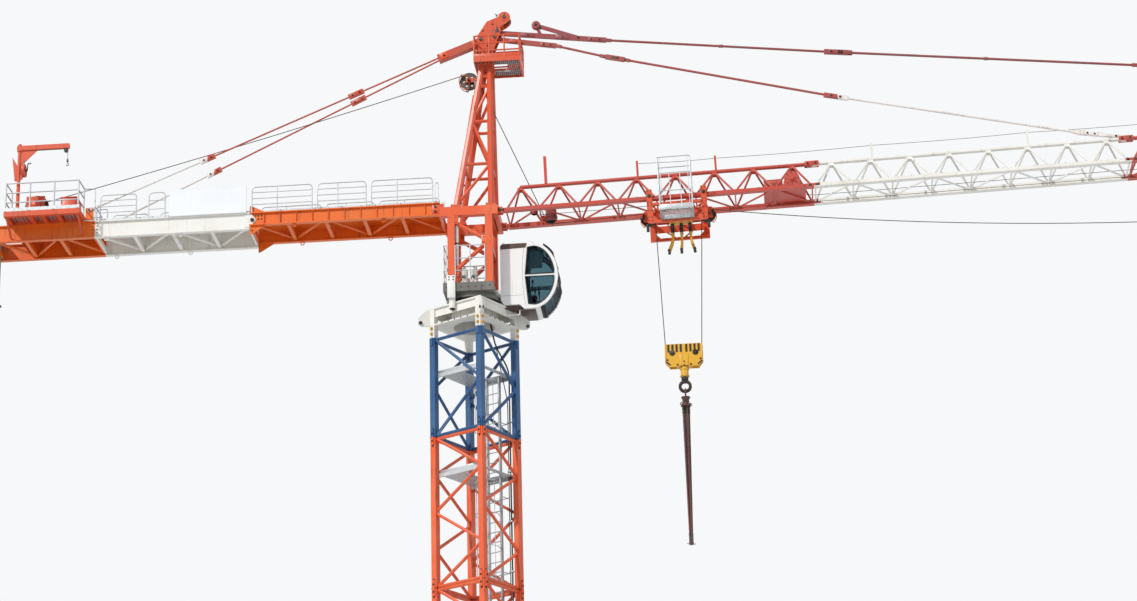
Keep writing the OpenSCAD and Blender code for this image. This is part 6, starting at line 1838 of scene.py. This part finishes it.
def makeTrolleyFrame(kit):
    shape = bmesh.new()
    for s in (-1, 1):
        for q in (-1, 1):  # diagonal braces and gussets of the side frames
            rod(shape, (q * 0.335, s * 0.352, -0.14), (q * 0.06, s * 0.352, -0.35), 0.011, 8)
            outline = [(q * 0.335, -0.345), (q * 0.265, -0.345), (q * 0.335, -0.27)]
            plate(shape, outline, 0.008, Matrix.Translation((0, max(s * 0.362, s * 0.372), 0)) @ sideways)
        for x in (-0.16, 0, 0.16):
            rod(shape, (x, s * 0.295, -0.235), (x, s * 0.3635, -0.11), 0.009, 8)
            ring = [(x + a, -0.235 + b) for a, b in arc(0.022, 0, 345, 15)]
            plate(shape, ring, 0.006, Matrix.Translation((0, max(s * 0.303, s * 0.309), 0)) @ sideways)
        for q in (-1, 1):  # horn ends with bumpers
            block(shape, (q * 0.466 - 0.012, s * 0.058, -0.25), (q * 0.466 + 0.012, s * 0.082, -0.105), 0.003)
    for q in (-1, 1):
        rod(shape, (q * 0.3, -0.06, -0.245), (q * 0.3, 0.06, -0.245), 0.009, 10)
        guard = [polar(kit["guardRadius"], a, kit["sheaveX"], kit["sheaveZ"]) for a in range(-60, 81, 14)]
        for y in (-0.05, 0.05):
            tube(shape, [(q * x, y, z) for x, z in guard], 0.005, 6)
        for a in (-60, 10, 78):
            x, z = polar(kit["guardRadius"], a, kit["sheaveX"], kit["sheaveZ"])
            rod(shape, (q * x, -0.05, z), (q * x, 0.05, z), 0.005, 6)
    onTrolley(shape)
    newPiece("trolley_frame_details", shape, ["headOrange"], "trolley")
    shape = bmesh.new()
    for q in (-1, 1):
        for s in (-1, 1):
            block(shape, (q * 0.478 - 0.014, s * 0.066 - 0.022, -0.22), (q * 0.478 + 0.014, s * 0.066 + 0.022, -0.13),
                  0.006, 0)
            bolt(shape, (q * kit["sheaveX"], s * 0.072, kit["sheaveZ"]), (0, s, 0), 0.021, 1)
    for x in (-0.215, 0.215):  # dark struts that stand down beside the falls
        block(shape, (x * 1.95 - 0.02, -0.352, -0.5), (x * 1.95 + 0.02, -0.318, -0.385), 0.006, 0)
    onTrolley(shape)
    newPiece("trolley_buffers", shape, ["rubber", "greased"], "trolley")
    shape = bmesh.new()  # yellow guide horns with dark sleeves, splayed to catch the raised block
    for y in (-0.045, 0.045):
        for top, knee, tip in ((-0.09, -0.098, -0.164), (0.03, 0.028, 0.011), (0.15, 0.156, 0.201)):
            path = rounded([(top, y, -0.268), (knee, y, -0.545), (tip, y * 1.15, -0.7)], 0.06, 5)
            tube(shape, path, 0.017, 10, 0)
            rod(shape, (top + 0.002, y, -0.3), ((top + knee) / 2, y, -0.43), 0.0225, 12, 1)
            rod(shape, path[-1] - Vector((0, 0, 0.001)), path[-1] + (path[-2] - path[-1]).normalized() * 0.03, 0.02,
                12, 1)
    block(shape, (-0.13, -0.075, -0.272), (0.19, 0.075, -0.258), 0.003, 0)
    for x in (-0.11, 0.17):
        for y in (-0.06, 0.06):
            rod(shape, (x, y, -0.262), (x, y, -0.205), 0.008, 8, 0)
    for x in (-0.11, 0.17):
        block(shape, (x - 0.012, -0.29, -0.225), (x + 0.012, 0.29, -0.205), 0.002, 2)
    onTrolley(shape)
    newPiece("trolley_guide_horns", shape, ["yellow", "rubber", "headOrange"], "trolley")


def makeBasket(kit):  # service basket of round tube with a mesh floor
    shape = bmesh.new()
    x0, x1, y0, y1 = kit["basket"]
    floor, top = kit["basketFloor"], kit["basketTop"]
    r = 0.0085
    a, b, c, d = x0 + 0.008, x1 - 0.008, y0 + 0.008, y1 - 0.01
    for x in (a, b):  # end frames with rounded tops
        tube(shape, rounded([(x, d, floor), (x, d, top - 0.012), (x, c, top - 0.012), (x, c, floor)], 0.05, 5), r, 8)
        for f in (0.25, 0.5, 0.75):
            z = floor + (top - floor) * f
            rod(shape, (x, c, z), (x, d, z), r * 0.7, 8)
    for x in (-0.074, 0.074):
        rod(shape, (x, c, floor), (x, c, floor + 0.52), r * 0.7, 8)
    for z in (floor + 0.26, floor + 0.52, top - 0.012):
        rod(shape, (a, c, z), (b, c, z), r * 0.9, 8)
    rod(shape, (a, d, top - 0.012), (b, d, top - 0.012), r * 0.9, 8)
    for x in (a + 0.035, b - 0.035):
        rod(shape, (x, c, floor), (x, c, top - 0.014), r * 0.6, 6)
    for y in (c, d):
        block(shape, (x0, y - 0.004, floor - 0.012), (x1, y + 0.004, floor + 0.06), 0.001)
    for x in (x0 + 0.002, x1 - 0.01):
        block(shape, (x, c, floor - 0.012), (x + 0.008, d, floor + 0.06), 0.001)
    for k in range(23):
        x = x0 + 0.012 + (x1 - x0 - 0.024) * k / 22
        block(shape, (x - 0.0015, c, floor - 0.015), (x + 0.0015, d, floor), 0)
    for k in range(11):
        y = y0 + 0.02 + (y1 - y0 - 0.04) * k / 10
        block(shape, (x0 + 0.004, y - 0.002, floor - 0.008), (x1 - 0.004, y + 0.002, floor), 0)
    for x in (-0.19, 0.19):
        block(shape, (x - 0.014, y1 - 0.3, floor - 0.015), (x + 0.014, y1, floor - 0.001), 0.002)
        block(shape, (x - 0.016, y1 - 0.01, floor - 0.02), (x + 0.016, y1 - 0.0005, floor + 0.055), 0.002)
    onTrolley(shape)
    piece = newPiece("trolley_basket_tubes", shape, ["galvanized"], "trolley")
    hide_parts("trolley_basket")


ropeKit = {"radius": 0.006, "drumWrap": 0.1345, "headGroove": 0.1144, "footGroove": 0.0704, "blockX": 2.86435,
           "blockTop": 14.445,
           "blockSheave": (0.158, 0.13, 0.0792), "sag": 0.76}


def tangent(a, ra, b, rb):  # where a straight rope touches two circles, as in the part's source
    a, b = Vector(a), Vector(b)
    v = b - a
    turn = atan2(v.y, v.x) - asin((ra - rb) / v.length)
    side = Vector((-sin(turn), cos(turn)))
    return a + ra * side, b + rb * side


def wrap(centre, start, end, way, steps=12):  # the arc from one touching point to the next
    centre = Vector(centre)
    a, b = start - centre, end - centre
    angleA, angleB = atan2(a.y, a.x), atan2(b.y, b.x)
    if way > 0 and angleB < angleA:
        angleB += tau
    if way < 0 and angleB > angleA:
        angleB -= tau
    return [centre + Vector((cos(angleA + (angleB - angleA) * k / steps),
                             sin(angleA + (angleB - angleA) * k / steps))) * a.length
            for k in range(1, steps)]


def flatPoint(point):  # the X and Z of a point in space
    return Vector((point.x, point.z))


def makeRopes(kit):
    radius = kit["radius"]
    head, drum = Vector(headKit["sheave"]), Vector((winchKit["drumX"], winchKit["drumZ"]))
    runZ = trolleyKit["sheaveZ"] + trolleyKit["sheaveGroove"]
    foot = flatPoint(onJib(0.685, 0, runZ + kit["footGroove"]))
    fromDrum, toHead = tangent(drum, kit["drumWrap"], head, kit["headGroove"] + radius)
    offHead, toFoot = tangent(head, kit["headGroove"] + radius, foot, -kit["footGroove"] - radius)
    bottom = flatPoint(onJib(0.685, 0, runZ - radius))
    flat = [(p, 0) for p in [fromDrum, toHead] + wrap(head, toHead, offHead, -1) + [offHead]]
    flat += [(p, 0.06) for p in [toFoot] + wrap(foot, toFoot, bottom, 1) + [bottom]]
    points = [Vector((p.x, y, p.y)) for p, y in flat]
    sag = [0.16 * (k / 24) * (1 - k / 24) for k in range(24)]
    first = [points[0] + (points[1] - points[0]) * k / 24 - Vector((0, 0, sag[k])) for k in range(24)]
    shape = bmesh.new()
    tube(shape, first + points[1:], radius, 8)
    piece = newPiece("hoist_rope_run", shape, ["ropeSteel"], smooth=60)
    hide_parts("hoist_rope")

    kitT = trolleyKit
    groove = kitT["sheaveGroove"] + radius
    topZ = kitT["sheaveZ"] + groove
    inner = onJib(kitT["x"] - kitT["sheaveX"], 0, topZ)
    start = onJib(0.685, 0.06, runZ - radius)
    path = [start + (inner - start) * k / 10 for k in range(11)]
    piece = taut("inner_rope_run", path, radius)
    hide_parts("rope_run_inner")

    span = jibKit["end"] - 0.02 - kitT["x"] - kitT["sheaveX"]
    path = []
    for k in range(41):
        f = k / 40
        path.append(onJib(kitT["x"] + kitT["sheaveX"] + span * f, 0, topZ - 4 * kit["sag"] * f * (1 - f)))
    for piece in hanging("outer_rope", path, radius, radius):
        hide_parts("rope_run_outer")

    sx, sz, sr = kit["blockSheave"]
    bx, top = kit["blockX"], kit["blockTop"]
    reach = sr + radius
    path = []
    left, right = (flatPoint(onJib(kitT["x"] + s * kitT["sheaveX"], 0, kitT["sheaveZ"])) for s in (-1, 1))
    down, downEnd = tangent(left, groove, (bx - sx, top - sz), -reach)
    up, upEnd = tangent(right, -groove, (bx + sx, top - sz), reach)
    topLeft, topRight = flatPoint(inner), flatPoint(onJib(kitT["x"] + kitT["sheaveX"], 0, topZ))
    flat = [topLeft] + wrap(left, topLeft, down, -1, 8) + [down + (downEnd - down) * k / 16 for k in range(17)]
    flat += wrap((bx - sx, top - sz), downEnd, Vector((bx - sx, top - sz - reach)), 1, 8)
    flat += [Vector((bx - sx, top - sz - reach)), Vector((bx + sx, top - sz - reach))]
    flat += wrap((bx + sx, top - sz), Vector((bx + sx, top - sz - reach)), upEnd, 1, 8)
    flat += [upEnd + (up - upEnd) * k / 16 for k in range(17)] + wrap(right, up, topRight, -1, 8) + [topRight]
    for p in flat:
        if not path or (Vector((p.x, 0, p.y)) - path[-1]).length > 0.002:
            path.append(Vector((p.x, 0, p.y)))
    piece = taut("hook_rope_falls", path, radius)
    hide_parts("rope_falls")
    shape = bmesh.new()  # the rope's anchor at the jib tip
    end = onJib(jibKit["end"] - 0.02, 0, topZ)
    rod(shape, end + Vector((-0.1, 0, 0.006)), end + Vector((0, 0, 0)), 0.012, 12, 0, 0.018)
    block(shape, (end.x - 0.004, -0.03, end.z - 0.022), (end.x + 0.018, 0.03, end.z + 0.05), 0.003, 0)
    newPiece("rope_anchor", shape, ["greased"])


hookKit = {"x": ropeKit["blockX"], "top": ropeKit["blockTop"], "plateY": 0.051, "hookZ": -0.6003, "ringZ": -0.6923,
           "hubZ": -0.8823}


def makeBlockDetails(kit):
    shape = bmesh.new()
    place = Matrix.Translation((kit["x"], 0, kit["top"]))
    y = kit["plateY"]
    for s in (-1, 1):
        low, high = s * y, s * (y + 0.002)
        for x in (-0.222, -0.166, -0.11, -0.054, 0.022, 0.078, 0.134, 0.19):  # dark warning stripes
            block(shape, (x, low, -0.118), (x + 0.03, high, -0.006), 0, 0, place)
        for x0, x1 in ((-0.255, -0.185), (0.185, 0.255)):
            a, b = (x0, -0.255), (x1, -0.318)
            if x0 > 0:
                a, b = (x1, -0.255), (x0, -0.318)
            points = [a, b, (b[0], b[1] + 0.03), (a[0], a[1] + 0.024)]
            if x0 < 0:
                points = points[::-1]
            plate(shape, points[::-1], 0.002, place @ Matrix.Translation((0, max(low, high), 0)) @ sideways)
    newPiece("block_stripes", shape, ["black"], "hook_block")
    shape = bmesh.new()
    for s in (-1, 1):
        for x in (-0.158, 0.158):
            axle = placeAt((x, s * y, -0.13), (0, s, 0))
            turned(shape, [(0, 0.02), (0.014, 0.02), (0.018, 0.016), (0.018, 0.008), (0.04, 0.006), (0.04, 0), (0, 0)],
                   place @ axle, 28, 1)
            for dx, dz in circle(0.03, 3):
                bolt(shape, place @ Vector((x + dx, s * (y + 0.006), -0.13 + dz)), (0, s, 0), 0.0065, 1)
        for x, z in ((-0.225, -0.225), (0.225, -0.225), (-0.09, -0.3), (0.09, -0.3), (0, -0.255), (0, -0.31)):
            bolt(shape, place @ Vector((x, s * y, z)), (0, s, 0), 0.013, 1, shank=0.02)
        low, high = s * y, s * (y + 0.007)
        block(shape, (-0.062, low, -0.33), (0.062, high, -0.15), 0.004, 0, place)
        for x in (-0.248, 0.248):
            block(shape, (x - 0.008, low, -0.25), (x + 0.008, high, -0.004), 0.002, 0, place)
        block(shape, (-0.205, low, -0.328), (0.205, high, -0.316), 0.002, 0, place)
    for x in (-0.235, -0.08, 0.08, 0.235):  # rope guard bars
        rod(shape, place @ Vector((x, -0.045, -0.01)), place @ Vector((x, 0.045, -0.01)), 0.009, 10, 0)
    turned(shape, collar(0.0555, 0.062, -0.357, 0.012, 0.003), place, 40, 0)
    turned(shape, collar(0.0555, 0.063, -0.453, 0.013, 0.004), place, 40, 0)
    for x, y in circle(0.0625, 6):
        bolt(shape, place @ Vector((x, y, -0.453)), (x, y, 0), 0.006, 1)
    newPiece("block_plates", shape, ["yellow", "greased"], "hook_block")


def makeHookDetails(kit):
    shape = bmesh.new()  # safety latch, throat lip, nut and grease nipple of the hook
    place = Matrix.Translation((kit["x"], 0, kit["top"] + kit["hookZ"]))
    latch = rounded([(0.04, -0.0235, 0.078), (0.082, -0.0235, 0.03), (0.086, 0, 0.022), (0.082, 0.0235, 0.03),
                     (0.04, 0.0235, 0.078)], 0.015, 4)
    tube(shape, [place @ Vector(p) for p in latch], 0.004, 8, 0)
    rod(shape, place @ Vector((0.034, -0.026, 0.078)), place @ Vector((0.034, 0.026, 0.078)), 0.006, 10, 0)
    turned(shape, [(0.0285, 0.072), (0.04, 0.074), (0.046, 0.082), (0.046, 0.09), (0.0285, 0.094), (0.0285, 0.072)],
           place, 6, 0)
    turned(shape, [(0, 0), (0.01, 0), (0.012, 0.01), (0, 0.012)], place @ placeAt((0, -0.018, 0.04), (0, -1, 0)), 12, 0)
    for s in (-1, 1):
        turned(shape, [(0.052, 0), (0.058, 0.004), (0.083, 0.004), (0.089, 0), (0.052, 0)],
               place @ placeAt((0, s * 0.0178, 0), (0, s, 0)), 48, 0)
    newPiece("hook_fittings", shape, ["forged"], "hook")
    shape = bmesh.new()  # sling ropes: ferrules, chain links and the small hooks gathered at their ends
    base = Matrix.Translation((kit["x"], 0, kit["top"] + kit["hubZ"]))
    for k in range(4):
        a = radians(20 + 90 * k)
        out = Vector((cos(a), sin(a), 0))
        top, end = out * 0.042 + Vector((0, 0, 0.005)), out * 0.014 + Vector((0, 0, -1.94))
        way = (end - top).normalized()
        for f in (0.02, 0.045, 0.93, 0.955):
            at = base @ (top + (end - top) * f)
            rod(shape, at - way * 0.02, at + way * 0.02, 0.0165, 10, 1)
        for j in range(24):  # strands of the laid rope
            f = 0.07 + 0.85 * j / 23
            here = base @ (top + (end - top) * f)
            ring = [here + Vector((dx, dy, dy * 0.012 / 0.0134)) for dx, dy in circle(0.0134, 8)]
            tube(shape, ring, 0.0022, 4, 0, True)
        link = base @ (out * 0.062 + Vector((0, 0, 0.03)))
        ring = [link + out * across + Vector((0, 0, up)) for across, up in circle(0.018, 12)]
        tube(shape, ring, 0.006, 6, 1, True)
        foot = base @ (end + Vector((0, 0, 0.055)))
        hookPath = [foot + out * 0.012, foot + out * 0.014 - Vector((0, 0, 0.022))] + [
            foot + out * (0.027 + 0.013 * cos(q)) + Vector((0, 0, 0.013 * sin(q) - 0.034))
            for q in [radians(160 + 22 * i) for i in range(10)]]
        tube(shape, hookPath, 0.005, 6, 1)
    for z in (0.07, 0.104):
        turned(shape, collar(0.04, 0.048, z, 0.006, 0.002), base, 32, 1)
    newPiece("sling_fittings", shape, ["slingRed", "greased"], "hook")


makeTrolleyWheels(trolleyKit)
makeTrolleyFrame(trolleyKit)
makeBasket(trolleyKit)
makeRopes(ropeKit)
makeBlockDetails(hookKit)
makeHookDetails(hookKit)
print("trolley, ropes and hook made")


view = {
    "eye": (4.168, -38.545, 0.8),
    "turn": 4.243, "tilt": 20.401, "roll": -1.482,
    "lens": 94.99,
}
camera = bpy.data.objects.new("camera", bpy.data.cameras.new("camera"))
scene.collection.objects.link(camera)
camera.data.lens = view["lens"]
camera.data.sensor_width = 36
camera.data.clip_end = 400
camera.matrix_world = (Matrix.Translation(view["eye"]) @ Matrix.Rotation(radians(view["turn"]), 4, "Z")
                       @ Matrix.Rotation(radians(90 + view["tilt"]), 4, "X")
                       @ Matrix.Rotation(radians(view["roll"]), 4, "Z"))
scene.camera = camera

lamps = {
    "key": {"energy": 2.5, "angle": 2.5, "turn": (52, 0, -38), "colour": (1.0, 0.97, 0.93)},
    "fill": {"energy": 0.45, "angle": 30.0, "turn": (60, 0, 60), "colour": (0.92, 0.96, 1.0)},
}
for name, lamp in lamps.items():
    sun = bpy.data.objects.new(name, bpy.data.lights.new(name, "SUN"))
    scene.collection.objects.link(sun)
    sun.data.energy = lamp["energy"]
    sun.data.angle = radians(lamp["angle"])
    sun.data.color = lamp["colour"]
    sun.rotation_euler = [radians(a) for a in lamp["turn"]]

floorMesh = bmesh.new()
bmesh.ops.create_circle(floorMesh, cap_ends=True, segments=96, radius=90)
floorData = bpy.data.meshes.new("floor")
floorMesh.to_mesh(floorData)
floorMesh.free()
floor = bpy.data.objects.new("floor", floorData)
scene.collection.objects.link(floor)
floorMaterial, floorTree, floorShader = newMaterial("floor")
floorShader.inputs["Base Color"].default_value = (0.78, 0.78, 0.77, 1)
floorShader.inputs["Roughness"].default_value = 0.9
floorData.materials.append(floorMaterial)

world = bpy.data.worlds.new("world")
scene.world = world
world.use_nodes = True
worldTree = world.node_tree
background = worldTree.nodes["Background"]
background.inputs["Color"].default_value = (0.86, 0.92, 1.0, 1)
background.inputs["Strength"].default_value = 0.45
pale = put(worldTree, "Background", {"Color": (0.93, 0.94, 0.95, 1), "Strength": 1.0})
ray = put(worldTree, "LightPath")
seen = mathNode(worldTree, "MAXIMUM", ray.outputs["Is Camera Ray"],
                mathNode(worldTree, "MAXIMUM", ray.outputs["Is Glossy Ray"], ray.outputs["Is Transmission Ray"]))
blendSky = put(worldTree, "MixShader", {0: seen, 1: background.outputs[0], 2: pale.outputs[0]})
worldTree.links.new(blendSky.outputs[0], worldTree.nodes["World Output"].inputs["Surface"])
scene.view_settings.view_transform = "Standard"
print("camera, light and floor set")
